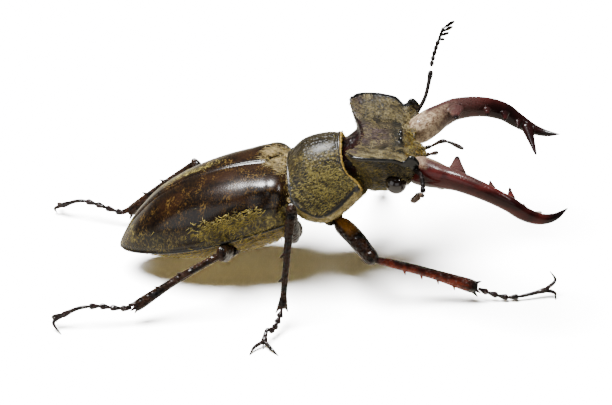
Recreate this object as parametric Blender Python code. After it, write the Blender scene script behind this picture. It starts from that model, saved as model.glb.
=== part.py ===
"""Miyama stag beetle, a large male, life size, standing with its jaws raised and open.

Run with: blender --background --python part.py
Sizes in the code are millimetres. +X is forward, +Y is the beetle's left, +Z is up and the floor is Z = 0.
"""

import math

import bmesh
import bpy
from mathutils import Vector

MM = 0.001
GAP = 0.3

# The stiff parts behind the head: where each one's own frame starts, and how far it is tipped nose up.
HIND_ORIGIN, HIND_PITCH = (-3.0, 0.0, 19.5), 18.5
CHEST_ORIGIN, CHEST_PITCH = (-3.0, 0.0, 19.5), 20.0

# Wing cases, in the hind frame: distance behind the scutellum against height and half width.
CASE_LENGTH = 28.1
CASE_RIDGE = [(0, -0.5), (1, 0.0), (2.5, 0.4), (5.5, 0.95), (9, 1.25), (13, 1.1), (17, 0.55),
              (20.4, -0.4), (23.2, -1.85), (25.3, -3.3), (27.1, -5.0), (28.1, -6.15)]
CASE_HALF_WIDTH = [(0, 7.0), (0.8, 8.0), (2.5, 8.55), (8, 8.95), (13, 8.85), (17, 8.15), (20.4, 7.0),
                   (23.2, 5.5), (25.3, 4.15), (27.1, 2.45), (28.1, 0.8)]
CASE_SQUARENESS = [(0, 3.6), (2, 4.3), (6, 3.2), (14, 2.7), (22, 2.4), (28.1, 2.2)]
CASE_SEAM = [(0, 1.95), (1.3, 1.6), (2.4, 0.8), (2.9, 0.15), (28.1, 0.15)]
CASE_EDGE_Z = -6.4
CASE_SHELL = (0.96, 0.93, 0.915)
BODY_UNDER_CASE = (0.925, 0.885, 0.865)
CASE_CENTRE = Vector((-13.0, 0.15, CASE_EDGE_Z))
BELLY_DEPTH = [(0, 2.9), (2, 3.9), (6, 4.3), (11, 4.0), (17, 3.2), (22, 2.0), (27, 0.7)]
WAIST = 11.6

# Pronotum, in the chest frame: distance forward against mid height, edge height, half width and depth.
SHIELD_LENGTH = 8.9
SHIELD_TOP = [(0, -0.35), (0.8, 0.25), (3.2, 1.45), (6.3, 1.5), (8.9, 0.95)]
SHIELD_EDGE = [(0, -3.2), (1.2, -4.9), (3.2, -6.7), (6.3, -6.15), (8.9, -4.9)]
SHIELD_HALF_WIDTH = [(0, 7.15), (1.2, 7.75), (3.2, 8.05), (6.3, 7.5), (8.9, 6.6)]
SHIELD_UNDER = [(0, -9.0), (3.2, -9.7), (6.3, -9.2), (8.9, -7.9)]
CORNER_REACH = [(0, -0.25), (3.2, 0.1), (6.3, 0.4), (8.9, 0.0)]
# How far the front edge runs forward, by the share of the way from the middle to the corner.
FRONT_MARGIN = [(0, 0), (0.3, -0.15), (0.62, -0.5), (0.8, -0.25), (0.93, 0.8), (1, 1.15)]
FRONT_STARTS, THROAT_STARTS, THROAT_REACH = 4.4, 6.0, 1.4

# Head, in world axes, left half. Each row is one ring from crown to throat: crown, saddle, shoulder, ear
# ridge, under the ridge, cheek, jaw line, throat side, throat. The first three rows are the neck.
HEAD_RINGS = [
    [(4.85, 0, 22.2), (4.95, 2.0, 21.7), (5.15, 3.0, 21.05), (5.35, 3.8, 20.45), (5.5, 4.1, 19.8),
     (5.7, 4.2, 19.1), (5.9, 3.8, 18.2), (6.05, 2.5, 17.7), (6.15, 0, 17.4)],
    [(6.05, 0, 22.9), (6.25, 2.4, 22.4), (6.5, 3.3, 21.8), (6.65, 3.95, 21.15), (6.85, 4.2, 20.4),
     (7.0, 4.3, 19.5), (7.1, 4.0, 18.2), (7.15, 2.9, 17.3), (7.2, 0, 17.0)],
    [(7.6, 0, 23.3), (7.3, 3.6, 22.9), (7.3, 4.8, 22.1), (7.6, 5.0, 21.4), (7.75, 5.05, 20.8),
     (7.85, 4.9, 19.8), (7.85, 4.5, 18.4), (7.7, 3.0, 17.0), (7.75, 0, 16.7)],
    [(8.05, 0, 23.8), (7.4, 3.9, 23.8), (6.5, 6.4, 24.4), (6.0, 8.5, 24.95), (6.45, 8.5, 24.2),
     (8.0, 6.2, 20.8), (8.3, 5.0, 18.4), (8.2, 3.2, 16.8), (8.2, 0, 16.5)],
    [(8.8, 0, 23.8), (8.5, 4.3, 23.85), (7.9, 7.4, 24.45), (7.3, 10.0, 25.1), (7.6, 9.85, 24.4),
     (8.8, 7.3, 21.1), (9.2, 5.9, 18.5), (9.0, 3.7, 16.7), (8.9, 0, 16.3)],
    [(10.0, 0, 23.7), (10.0, 4.5, 23.75), (10.0, 7.6, 24.3), (9.8, 10.35, 25.05), (9.9, 10.2, 24.35),
     (10.0, 8.2, 21.3), (10.0, 6.8, 18.7), (10.0, 4.0, 16.7), (10.0, 0, 16.2)],
    [(11.6, 0, 23.6), (11.6, 4.4, 23.6), (11.6, 7.5, 24.1), (11.5, 10.15, 24.9), (11.5, 10.0, 24.2),
     (11.6, 8.5, 21.3), (11.6, 7.0, 18.8), (11.6, 4.1, 16.9), (11.6, 0, 16.4)],
    [(12.8, 0, 23.55), (12.8, 4.3, 23.45), (12.8, 7.3, 23.75), (12.8, 9.85, 24.7), (12.8, 9.75, 24.1),
     (12.8, 8.6, 21.3), (12.8, 7.1, 19.0), (12.8, 4.1, 17.1), (12.8, 0, 16.7)],
    [(13.75, 0, 23.5), (13.8, 4.2, 23.3), (13.9, 7.0, 23.2), (14.0, 9.15, 24.0), (14.1, 9.15, 23.4),
     (13.9, 8.6, 21.3), (13.9, 7.2, 19.3), (13.9, 4.1, 17.5), (13.8, 0, 17.2)],
    [(14.6, 0, 22.85), (14.6, 4.2, 22.7), (14.5, 7.0, 22.95), (14.7, 9.05, 24.2), (14.8, 9.4, 23.7),
     (14.9, 8.8, 21.5), (14.9, 7.3, 19.7), (14.9, 4.1, 18.0), (14.8, 0, 17.7)],
    [(15.3, 0, 22.2), (15.1, 3.8, 22.2), (14.8, 6.9, 22.7), (15.2, 9.1, 24.7), (15.5, 9.6, 23.8),
     (15.5, 8.8, 22.0), (15.3, 7.4, 20.3), (15.3, 4.1, 18.6), (15.3, 0, 18.3)],
    [(15.8, 0, 21.7), (15.4, 3.4, 21.6), (15.0, 6.4, 22.2), (16.3, 9.0, 23.6), (16.4, 9.1, 23.1),
     (16.0, 8.5, 22.0), (15.2, 7.2, 20.5), (15.5, 3.8, 19.1), (15.7, 0, 18.8)],
]
EYE_CENTRE, EYE_RADIUS = (13.2, 8.25, 20.15), 1.5
BROW_BUMP, BROW_BUMP_SIZE = (13.7, 1.05, 23.5), (0.34, 0.75, 0.55)
CLYPEUS_LINE = [(14.9, 0, 20.8), (16.3, 0, 21.0), (17.3, 0, 20.5)]
CLYPEUS_RADII = [(0, 2.9), (0.6, 2.3), (1, 1.2)]
CLYPEUS_FLAT = 0.4

# Jaw, in world axes, for the left side: the line of its middle, then half depth and half thickness along it.
JAW_LINE = [(15.3, 5.0, 21.0), (16.6, 6.4, 21.35), (18.2, 8.1, 21.8), (19.6, 9.5, 22.1), (21.9, 11.3, 22.4),
            (25.8, 13.4, 21.8), (29.0, 14.4, 20.6), (31.4, 14.4, 19.0), (33.6, 13.8, 18.0), (35.6, 12.8, 17.85),
            (37.5, 11.3, 18.5)]
JAW_DEPTH = [(0, 0.9), (0.025, 1.6), (0.06, 2.0), (0.15, 2.05), (0.23, 1.8), (0.33, 1.65), (0.49, 1.5),
             (0.62, 1.4), (0.73, 1.15), (0.83, 0.8), (0.92, 0.45), (1, 0.07)]
JAW_THICKNESS = [(0, 0.9), (0.025, 1.7), (0.06, 2.1), (0.15, 2.0), (0.23, 1.7), (0.33, 1.4), (0.49, 1.15),
                 (0.62, 1.0), (0.73, 0.95), (0.83, 0.8), (0.92, 0.5), (1, 0.07)]
JAW_TILT = 58.0
# The head is hollowed round the jaw's root by the jaw's own shape up to this share, and by a rounded hollow.
JAW_SOCKET_END, JAW_HOLLOW, JAW_HOLLOW_SIZE = 0.14, (17.0, 5.4, 21.9), (2.05, 2.9, 2.5)
# Jaw teeth: root, tip, root radius and how flat each is.
JAW_TEETH = [
    ((21.6, 10.2, 23.0), (21.8, 5.9, 23.5), 1.55, 0.5),
    ((26.6, 12.4, 21.9), (26.4, 9.9, 21.9), 0.62, 0.8),
    ((29.3, 13.3, 20.8), (29.2, 10.2, 21.0), 0.7, 0.8),
    ((31.3, 13.6, 19.3), (31.2, 11.4, 19.1), 0.5, 0.8),
    ((32.6, 13.9, 18.5), (33.9, 8.7, 16.3), 1.0, 0.75),
]

# Legs, in world axes: the points at hip, knee and shin end, the line of the foot, and the two claw tips.
LEGS = {
    "front_right": {
        "hip": (3.9, -3.5, 12.2), "thigh": (7.2, -6.9, 10.6), "knee": (10.0, -9.9, 8.6),
        "shin_end": (25.2, -7.2, 2.6),
        "foot": [(26.5, -6.9, 1.8), (28.2, -6.7, 1.1), (30.0, -6.6, 0.7),
                 (32.2, -6.2, 0.8), (35.7, -5.2, 1.35)],
        "claws": [((36.8, -4.6, 2.6), (36.0, -4.2, 3.9)), ((36.8, -5.4, 0.9), (36.9, -5.9, -0.1))],
    },
    "middle_right": {
        "hip": (-1.9, -4.2, 9.9), "thigh": (-1.4, -9.1, 12.1), "knee": (-1.6, -11.7, 17.6),
        "shin_end": (-2.7, -15.5, 3.4),
        "foot": [(-3.1, -16.4, 2.5), (-3.5, -17.4, 1.8), (-4.0, -18.4, 1.5),
                 (-4.7, -19.2, 2.0), (-5.1, -20.7, 0.8)],
        "claws": [((-6.4, -21.7, 0.6), (-7.0, -22.9, -0.1)), ((-4.1, -21.7, 0.6), (-2.9, -22.9, -0.1))],
    },
    "hind_right": {
        "hip": (-10.7, -4.8, 7.6), "thigh": (-11.2, -8.6, 8.4), "knee": (-11.6, -12.2, 10.2),
        "shin_end": (-24.0, -15.4, 2.9),
        "foot": [(-25.2, -15.7, 2.9), (-27.0, -16.1, 3.2), (-29.0, -16.4, 3.6), (-31.8, -16.7, 3.4),
                 (-34.4, -17.0, 2.2)],
        "claws": [((-35.5, -17.4, 1.3), (-34.3, -18.6, -0.1)), ((-35.7, -16.4, 1.6), (-35.2, -16.0, 0.5))],
    },
    "front_left": {
        "hip": (3.9, 3.5, 12.2), "thigh": (6.0, 7.6, 11.6), "knee": (7.8, 11.6, 11.8),
        "shin_end": (10.4, 24.3, 2.9),
        "foot": [(10.8, 25.5, 2.2), (11.4, 27.2, 1.4), (12.0, 28.8, 1.1),
                 (12.6, 30.2, 1.3), (13.2, 32.2, 0.9)],
        "claws": [((14.0, 33.1, 0.6), (14.4, 33.9, -0.1)), ((13.0, 33.4, 0.6), (12.7, 34.1, -0.1))],
    },
    "middle_left": {
        "hip": (-1.9, 4.2, 9.9), "thigh": (-2.1, 9.0, 10.9), "knee": (-2.4, 13.4, 13.4),
        "shin_end": (-4.6, 24.4, 3.0),
        "foot": [(-5.0, 25.6, 2.3), (-5.6, 27.2, 1.6), (-6.2, 28.6, 1.3),
                 (-6.8, 29.8, 1.5), (-7.6, 31.4, 0.9)],
        "claws": [((-8.7, 32.1, 0.6), (-9.4, 32.8, -0.1)), ((-7.6, 32.6, 0.6), (-7.6, 33.4, -0.1))],
    },
    "hind_left": {
        "hip": (-10.7, 4.8, 7.6), "thigh": (-14.2, 9.8, 7.8), "knee": (-17.6, 14.3, 10.8),
        "shin_end": (-27.9, 12.9, 2.6),
        "foot": [(-29.1, 13.1, 2.5), (-30.8, 13.5, 2.8), (-32.6, 14.0, 3.2),
                 (-35.6, 14.9, 3.4), (-38.8, 15.9, 1.9)],
        "claws": [((-39.9, 16.4, 1.1), (-39.7, 16.9, -0.1)), ((-39.5, 17.3, 1.4), (-38.9, 17.9, 0.5))],
    },
}
COXA_SIZE = {"front": (1.7, 2.0, 1.6), "middle": (1.7, 2.2, 1.7), "hind": (1.6, 3.0, 1.4)}
THIGH_RADIUS = {"front": 1.45, "middle": 1.3, "hind": 1.25}
THIGH_FLAT = {"front": 0.92, "middle": 0.72, "hind": 0.72}
# The hollow that a thigh moves in, in its hip piece and in the body, and how much wider it is for each pair.
THIGH_SOCKET, SOCKET_END = [(0, 0.9), (0.3, 1.3), (1, 1.5)], 0.45
SOCKET_SCALE = {"front": 1.15, "middle": 1, "hind": 1}
# The share of the foot that its four beads take, and the radii of a claw.
FOOT_BEADS, CLAW_RADII = 0.58, [(0, 0.3), (0.5, 0.27), (1, 0.09)]
KNEE_SLOT, KNEE_SLOT_END = [(0, 0.9), (1, 0.95)], 0.35
SHIN_RADII = {
    "front": [(0, 0.4), (0.05, 0.52), (0.2, 0.66), (0.6, 0.8), (0.93, 1.08), (1, 1.0)],
    "middle": [(0, 0.42), (0.05, 0.55), (0.14, 0.62), (0.45, 0.6), (0.85, 0.55), (0.95, 0.78), (1, 0.65)],
    "hind": [(0, 0.4), (0.05, 0.52), (0.2, 0.53), (0.6, 0.65), (0.93, 0.88), (1, 0.81)],
}
SHIN_RADIUS = {"front": 0.8, "middle": 0.62, "hind": 0.65}
SHIN_SPINES = {"front": (0.3, 0.46, 0.62, 0.78), "middle": (0.45, 0.7), "hind": (0.42, 0.68)}
# Which way the toothed edge of each shin faces, and how much it also leans outward.
SPINE_EDGE = {"front": ((0, 0, -1), 0.5), "middle": ((-1, 0, 0), 0.4), "hind": ((-0.6, 0, 0.8), 0.3)}

# Feelers, in world axes: root, elbow, and the line of the outer part, which ends in the leafed club.
FEELERS = {
    "left": {"scape": [(15.9, 8.3, 23.0), (17.2, 10.4, 24.7), (18.0, 13.0, 27.8)],
             "outer": [(18.0, 13.4, 28.3), (18.4, 14.6, 29.8), (19.0, 15.7, 31.4), (19.7, 16.6, 33.2)],
             "leaf_way": (0.6, -0.2, 0.35), "leaves": (1.0, 1.45, 1.75, 1.7)},
    "right": {"scape": [(15.7, -9.0, 22.9), (16.7, -10.1, 22.5), (17.0, -12.4, 21.1)],
              "outer": [(16.95, -12.1, 20.4), (16.75, -11.2, 20.0), (16.5, -10.4, 19.7), (16.1, -9.6, 19.2)],
              "leaf_way": (-0.35, -0.5, -0.8), "leaves": (0.9, 1.15, 1.3, 1.2)},
}
BEADS_END, CLUB_STARTS, LEAF_STEP = 0.66, 0.68, 0.1
LEAF_RADII = [(0, 0.34), (0.5, 0.5), (1, 0.3)]
# Radii of the hollows that the feelers and the mouth feelers stand in, and how far along them a hollow goes.
FEELER_SOCKET, PALP_SOCKET, SOCKET_DEPTH = [(0, 0.62), (1, 0.62)], [(0, 0.6), (1, 0.6)], 0.6
PALPS = {
    "maxillary_palp_left": [(15.7, 2.4, 20.0), (17.9, 2.2, 20.7), (20.0, 1.8, 21.9), (22.9, 1.2, 21.0)],
    "maxillary_palp_right": [(15.6, -2.7, 19.6), (17.6, -3.2, 18.2), (19.0, -3.6, 17.4), (20.2, -3.9, 17.2)],
    "labial_palp_left": [(15.5, 0.9, 19.6), (17.4, 0.8, 20.1), (19.2, 0.5, 20.7)],
    "labial_palp_right": [(15.5, -1.0, 19.2), (17.0, -1.3, 18.2), (18.4, -1.5, 17.6)],
}

# Finish of each kind of part: base colour, roughness.
FINISH = {
    "wing_case": ((0.055, 0.022, 0.012), 0.28),
    "shield": ((0.075, 0.060, 0.028), 0.42),
    "head_shell": ((0.085, 0.066, 0.032), 0.45),
    "underside": ((0.16, 0.105, 0.035), 0.6),
    "jaw": ((0.075, 0.014, 0.012), 0.25),
    "eye": ((0.004, 0.003, 0.003), 0.08),
    "leg": ((0.022, 0.010, 0.009), 0.3),
    "front_shin": ((0.11, 0.018, 0.010), 0.3),
    "foot": ((0.018, 0.010, 0.009), 0.32),
    "feeler": ((0.022, 0.016, 0.014), 0.35),
    "palp": ((0.05, 0.022, 0.012), 0.4),
}


def value_at(stops, t):
    """Height at t of the smooth curve through stops, a list of (t, value)."""
    if t <= stops[0][0]:
        return stops[0][1]
    if t >= stops[-1][0]:
        return stops[-1][1]
    k = max(i for i, stop in enumerate(stops) if stop[0] <= t)
    (t0, v0), (t1, v1) = stops[k], stops[k + 1]

    def slope(i):
        low, high = max(i - 1, 0), min(i + 1, len(stops) - 1)
        return (stops[high][1] - stops[low][1]) / (stops[high][0] - stops[low][0])

    s, span = (t - t0) / (t1 - t0), t1 - t0
    return (v0 * (1 + 2 * s) * (1 - s) ** 2 + v1 * s * s * (3 - 2 * s)
            + span * (slope(k) * s * (1 - s) ** 2 - slope(k + 1) * s * s * (1 - s)))


class Line:
    """A smooth line through points, read at 0 to 1 by its chord length."""

    def __init__(self, points):
        self.points = [Vector(p) for p in points]
        steps = [(b - a).length for a, b in zip(self.points, self.points[1:])]
        self.length = sum(steps)
        self.stops = [sum(steps[:i]) / self.length for i in range(len(self.points))]

    def at(self, t):
        stops = [[(s, p[axis]) for s, p in zip(self.stops, self.points)] for axis in range(3)]
        return Vector([value_at(axis_stops, t) for axis_stops in stops])

    def way(self, t):
        low, high = max(t - 0.01, 0.0), min(t + 0.01, 1.0)
        return (self.at(high) - self.at(low)).normalized()


def evenly(count, start=0.0, end=1.0):
    if count == 1:
        return [start]
    return [start + (end - start) * i / (count - 1) for i in range(count)]


def material(finish):
    """The Principled material of one kind of part, made once."""
    if finish in bpy.data.materials:
        return bpy.data.materials[finish]
    colour, roughness = FINISH[finish]
    made = bpy.data.materials.new(finish)
    made.use_nodes = True
    shader = made.node_tree.nodes["Principled BSDF"]
    shader.inputs["Base Color"].default_value = (*colour, 1.0)
    shader.inputs["Roughness"].default_value = roughness
    return made


def frame(name, origin, pitch, parent):
    """An empty whose axes are a body part's own, tipped nose up by pitch degrees."""
    empty = bpy.data.objects.new(name, None)
    bpy.context.scene.collection.objects.link(empty)
    empty.parent = parent
    empty.location = Vector(origin) * MM
    empty.rotation_euler = (0, math.radians(-pitch), 0)
    return empty


def solid(name, rings, parent, finish=None):
    """A closed object skinned over rings of equally many points, with a fan over each end."""
    mesh = bpy.data.meshes.new(name)
    shape = bmesh.new()
    loops = [[shape.verts.new(Vector(p) * MM) for p in ring] for ring in rings]
    count = len(loops[0])
    for a, b in zip(loops, loops[1:]):
        for i in range(count):
            j = (i + 1) % count
            shape.faces.new((a[i], a[j], b[j], b[i]))
    for loop in (loops[0], loops[-1]):
        middle = shape.verts.new(sum((v.co for v in loop), Vector()) / count)
        for i in range(count):
            shape.faces.new((loop[i], loop[(i + 1) % count], middle))
    bmesh.ops.recalc_face_normals(shape, faces=shape.faces)
    shape.to_mesh(mesh)
    shape.free()
    made = bpy.data.objects.new(name, mesh)
    bpy.context.scene.collection.objects.link(made)
    made.parent = parent
    if finish:
        mesh.materials.append(material(finish))
    mesh.shade_smooth()
    mesh.set_sharp_from_angle(angle=math.radians(50))
    return made


def tube_rings(line, radii, sides, flat=1.0, face=(0, 0, 1), turn=0.0, start=0.0, end=1.0, count=12):
    """Rings along a line. radii is a list of stops; flat is the ratio of depth along face to breadth."""
    rings = []
    for t in evenly(count, start, end):
        way = line.way(t)
        side = way.cross(Vector(face)).normalized()
        lift = side.cross(way)
        r = value_at(radii, t)
        depth = r * (value_at(flat, t) if isinstance(flat, list) else flat)
        ring = []
        for i in range(sides):
            a = 2 * math.pi * i / sides + turn
            ring.append(line.at(t) + side * math.cos(a) * r + lift * math.sin(a) * depth)
        rings.append(ring)
    return rings


def cone(root, tip, radius, flat=1.0, sides=6, bend=(0, 0, 0), steps=4, blunt=0.12):
    """The rings of a spine, tooth or claw: round at the root, tapering to a small tip, with a gentle bend."""
    root, tip = Vector(root), Vector(tip)
    line = Line([root, (root + tip) / 2 + Vector(bend), tip])
    radii = [(0, radius), (0.5, radius * 0.55), (1, radius * blunt)]
    return tube_rings(line, radii, sides, flat, face=(0.05, 0.02, 1), count=steps)


def ball(centre, size, sides=12, rows=7):
    """The rings of an ellipsoid with its poles along Z."""
    centre, rings = Vector(centre), []
    for a in evenly(rows, math.radians(-84), math.radians(84)):
        ring = []
        for i in range(sides):
            b = 2 * math.pi * i / sides
            x, y, z = math.cos(a) * math.cos(b), math.cos(a) * math.sin(b), math.sin(a)
            ring.append(centre + Vector((size[0] * x, size[1] * y, size[2] * z)))
        rings.append(ring)
    return rings


def keep_largest_surface(mesh):
    """Drops every closed surface but the one with the most volume."""
    shape = bmesh.new()
    shape.from_mesh(mesh)
    left, islands = set(shape.faces), []
    while left:
        todo, island = [left.pop()], []
        while todo:
            face = todo.pop()
            island.append(face)
            for edge in face.edges:
                for other in edge.link_faces:
                    if other in left:
                        left.discard(other)
                        todo.append(other)
        islands.append(island)

    def volume(island):
        total = 0.0
        for face in island:
            corners = [v.co for v in face.verts]
            for b, c in zip(corners[1:], corners[2:]):
                total += corners[0].dot(b.cross(c))
        return total

    islands.sort(key=volume)
    bmesh.ops.delete(shape, geom=[f for island in islands[:-1] for f in island], context="FACES")
    shape.to_mesh(mesh)
    shape.free()


def join_or_cut(base, pieces, operation):
    """One Boolean of base with a collection of closed pieces, applied. The pieces are then removed."""
    helpers = bpy.data.collections.new("helpers")
    bpy.context.scene.collection.children.link(helpers)
    for piece in pieces:
        bpy.context.scene.collection.objects.unlink(piece)
        helpers.objects.link(piece)
    step = base.modifiers.new(operation, "BOOLEAN")
    step.operation = operation
    step.operand_type = "COLLECTION"
    step.collection = helpers
    step.solver = "EXACT"
    bpy.context.view_layer.update()
    graph = bpy.context.evaluated_depsgraph_get()
    result = bpy.data.meshes.new_from_object(base.evaluated_get(graph), depsgraph=graph)
    base.modifiers.remove(step)
    base.data = result
    keep_largest_surface(result)
    for piece in pieces:
        bpy.data.objects.remove(piece)
    bpy.data.collections.remove(helpers)
    result.set_sharp_from_angle(angle=math.radians(50))
    return base


def fuse(base, pieces):
    return join_or_cut(base, pieces, "UNION")


def hollow(base, cutters):
    return join_or_cut(base, cutters, "DIFFERENCE")


def stand_flat(node, world):
    """Cuts off what dips under the floor, so that the node rests on a small flat."""
    corners = ((-1, -1), (1, -1), (1, 1), (-1, 1))
    middle = node.data.vertices[0].co / MM
    rings = [[(middle.x + 30 * x, middle.y + 30 * y, z) for x, y in corners] for z in (-5.0, 0.0)]
    return hollow(node, [solid("floor", rings, world)])


def case_point(x, share, seam):
    """A point on a dome's outer face: x back from its front, share 0 at the seam to 1 at the side edge."""
    half, top, square = value_at(CASE_HALF_WIDTH, x), value_at(CASE_RIDGE, x), value_at(CASE_SQUARENESS, x)
    across, up = math.sin(share * math.pi / 2), math.cos(share * math.pi / 2)
    reach = (across ** square + up ** square) ** (-1 / square)
    return Vector((-x, seam + (half - seam) * across * reach, CASE_EDGE_Z + (top - CASE_EDGE_Z) * up * reach))


def drawn_in(point, centre, scale):
    """A point moved towards a centre, by a scale for each axis."""
    return Vector([c + (p - c) * k for p, c, k in zip(point, centre, scale)])


def wing_case(side_name, side, parent):
    """One wing case: a domed shell, thick as the real one, open below."""
    stations = [CASE_LENGTH * (1 - math.cos(math.radians(a))) / 2 for a in evenly(15, 0, 180)]
    rings = []
    for x in stations:
        outer = [case_point(x, share, value_at(CASE_SEAM, x)) for share in evenly(11)]
        inner = [drawn_in(p, CASE_CENTRE, CASE_SHELL) for p in reversed(outer)]
        rings.append([Vector((p.x, side * p.y, p.z)) for p in outer + inner])
    return solid(f"elytron_{side_name}", rings, parent, "wing_case")


def body_ring(x):
    """One ring of the body under the wing cases: the case's own dome drawn in, then the belly."""
    middle = (CASE_CENTRE.x, 0.0, CASE_CENTRE.z)
    upper = [drawn_in(case_point(x, share, 0.0), middle, BODY_UNDER_CASE) for share in evenly(7)]
    half, level = upper[-1].y, upper[-1].z
    depth = value_at(BELLY_DEPTH, x)
    lower = []
    for a in evenly(5, 15, 90):
        y = half * math.cos(math.radians(a)) ** 0.75
        lower.append(Vector((upper[-1].x, y, level - 0.2 - depth * math.sin(math.radians(a)) ** 0.9)))
    right_half = upper + lower
    left_half = [Vector((p.x, -p.y, p.z)) for p in reversed(right_half[1:-1])]
    return right_half + left_half


def metathorax(parent):
    stations = [0.35, 0.9, 2.2, 4.2, 6.5, 9.0, WAIST - GAP / 2]
    return solid("metathorax", [body_ring(x) for x in stations], parent, "underside")


def abdomen(parent):
    """Five belly plates, each stepped a little over the next."""
    plates = [WAIST + GAP / 2, 14.4, 17.2, 20.0, 22.8, 26.4]
    rings = []
    for start, end in zip(plates, plates[1:]):
        for share, swell in ((0.0, 0.96), (0.9, 1.0)):
            ring = body_ring(start + (end - start) * share)
            for point in ring:
                if point.z < CASE_EDGE_Z:
                    point.z = CASE_EDGE_Z + (point.z - CASE_EDGE_Z) * swell
            rings.append(ring)
    rings.append(body_ring(plates[-1]))
    return solid("abdomen", rings, parent, "underside")


def scutellum(parent):
    """The small rounded plate between the wing cases' front corners."""
    outline = [(0.0, 1.5), (-0.7, 1.4), (-1.5, 1.0), (-2.3, 0.35)]
    half = [Vector((x, y, 0)) for x, y in outline]
    plan = half + [Vector((p.x, -p.y, 0)) for p in reversed(half)]
    rings = []
    for z, scale in ((-0.85, 0.94), (-0.6, 1.0), (-0.25, 0.9)):
        rings.append([Vector((-1.1 + (p.x + 1.1) * scale, p.y * scale, z - 0.12 * p.x)) for p in plan])
    return solid("scutellum", rings, parent, "wing_case")


def margin(x, s):
    """How far forward the shield's plan reaches at x, s of the way from its middle to its side."""
    front = max(0.0, (x - FRONT_STARTS) / (SHIELD_LENGTH - FRONT_STARTS)) ** 2
    return value_at(CORNER_REACH, x) * s ** 2.2 + front * value_at(FRONT_MARGIN, s)


def shield_ring(x, grow=1.0, shift=0.0, sweep=1.0):
    """One ring of the prothorax: the pronotum's arch down to its keel, then the underside."""
    top, edge = value_at(SHIELD_TOP, x), value_at(SHIELD_EDGE, x)
    half, under = value_at(SHIELD_HALF_WIDTH, x), value_at(SHIELD_UNDER, x)
    bulge = 2.25 + 0.35 * math.sin(math.pi * x / SHIELD_LENGTH)
    throat = THROAT_REACH * max(0.0, (x - THROAT_STARTS) / (SHIELD_LENGTH - THROAT_STARTS)) ** 1.5
    half_ring = []
    for s in evenly(11):
        half_ring.append(Vector((x + sweep * margin(x, s), half * s, top + (edge - top) * s ** bulge)))
    for a in evenly(5, 20, 90):
        y = (half - 0.55) * math.cos(math.radians(a)) ** 0.8
        z = edge - 0.25 + (under - edge + 0.25) * math.sin(math.radians(a)) ** 0.95
        reach = margin(x, y / half) + throat * math.sin(math.radians(a))
        half_ring.append(Vector((x + sweep * reach, y, z)))
    ring = half_ring + [Vector((p.x, -p.y, p.z)) for p in reversed(half_ring[1:-1])]
    middle = (top + under) / 2
    return [Vector((p.x + shift, p.y * grow, middle + (p.z - middle) * grow)) for p in ring]


def prothorax(parent):
    """The pronotum with its underside, and a shallow recess in front that the neck sits in."""
    rings = [shield_ring(0, 0.9, 0.35), shield_ring(0, 0.985, 0.1)]
    rings += [shield_ring(x) for x in (0.35, 1.2, 2.4, 4.0, 5.6, 7.2, 8.4)]
    rings += [shield_ring(SHIELD_LENGTH, 0.99), shield_ring(SHIELD_LENGTH, 0.955)]
    rings += [shield_ring(SHIELD_LENGTH - 1.0, 0.925), shield_ring(SHIELD_LENGTH - 1.9, 0.87, sweep=0.0)]
    return solid("prothorax", rings, parent, "shield")


def head_ring(row):
    """One closed ring of the head from a row of HEAD_RINGS, with a point added halfway between each two."""
    edge = Line(row)
    stops = sorted(edge.stops + [(a + b) / 2 for a, b in zip(edge.stops, edge.stops[1:])])
    half = [edge.at(t) for t in stops]
    return half + [Vector((p.x, -p.y, p.z)) for p in reversed(half[1:-1])]


def between_rows(share):
    """The row at a share of the way from the head's first row to its last, smooth along the head."""
    columns = zip(*HEAD_RINGS)
    where = share * (len(HEAD_RINGS) - 1)
    row = []
    for column in columns:
        row.append(tuple(value_at([(i, p[axis]) for i, p in enumerate(column)], where) for axis in range(3)))
    return row


def on_side(place, side):
    """A place given for the left side, on the side asked for."""
    return Vector((place[0], side * place[1], place[2]))


def head(world):
    last = len(HEAD_RINGS) - 1
    stations = [0, 0.8, 1.5, 2, 2.6, 3, 3.5, 4, 5, 6, 7, 8, 8.6, 9.3, 10, 10.5, 11]
    shell = solid("head", [head_ring(between_rows(n / last)) for n in stations], world, "head_shell")
    pieces = []
    clypeus = tube_rings(Line(CLYPEUS_LINE), CLYPEUS_RADII, 12, CLYPEUS_FLAT, count=5)
    pieces.append(solid("clypeus", clypeus, world))
    for side in (1, -1):
        pieces.append(solid("bump", ball(on_side(BROW_BUMP, side), BROW_BUMP_SIZE, 8, 5), world))
    fuse(shell, pieces)
    cutters = []
    for side in (1, -1):
        cutters.append(solid("socket", ball(on_side(EYE_CENTRE, side), (EYE_RADIUS + GAP,) * 3, 12, 7), world))
        cutters.append(solid("socket", jaw_rings(side, GAP, 0.0, JAW_SOCKET_END, 6), world))
        cutters.append(solid("socket", ball(on_side(JAW_HOLLOW, side), JAW_HOLLOW_SIZE, 12, 7), world))
    for feeler in FEELERS.values():
        rings = tube_rings(Line(feeler["scape"]), FEELER_SOCKET, 8, count=4, end=SOCKET_DEPTH, face=(1, 0, 0))
        cutters.append(solid("socket", rings, world))
    for line in PALPS.values():
        rings = tube_rings(Line(line), PALP_SOCKET, 8, count=4, end=SOCKET_DEPTH)
        cutters.append(solid("socket", rings, world))
    return hollow(shell, cutters)


def eye(side_name, side, parent):
    size = (EYE_RADIUS, EYE_RADIUS, EYE_RADIUS * 0.97)
    return solid(f"eye_{side_name}", ball(on_side(EYE_CENTRE, side), size, 12, 7), parent, "eye")


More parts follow.
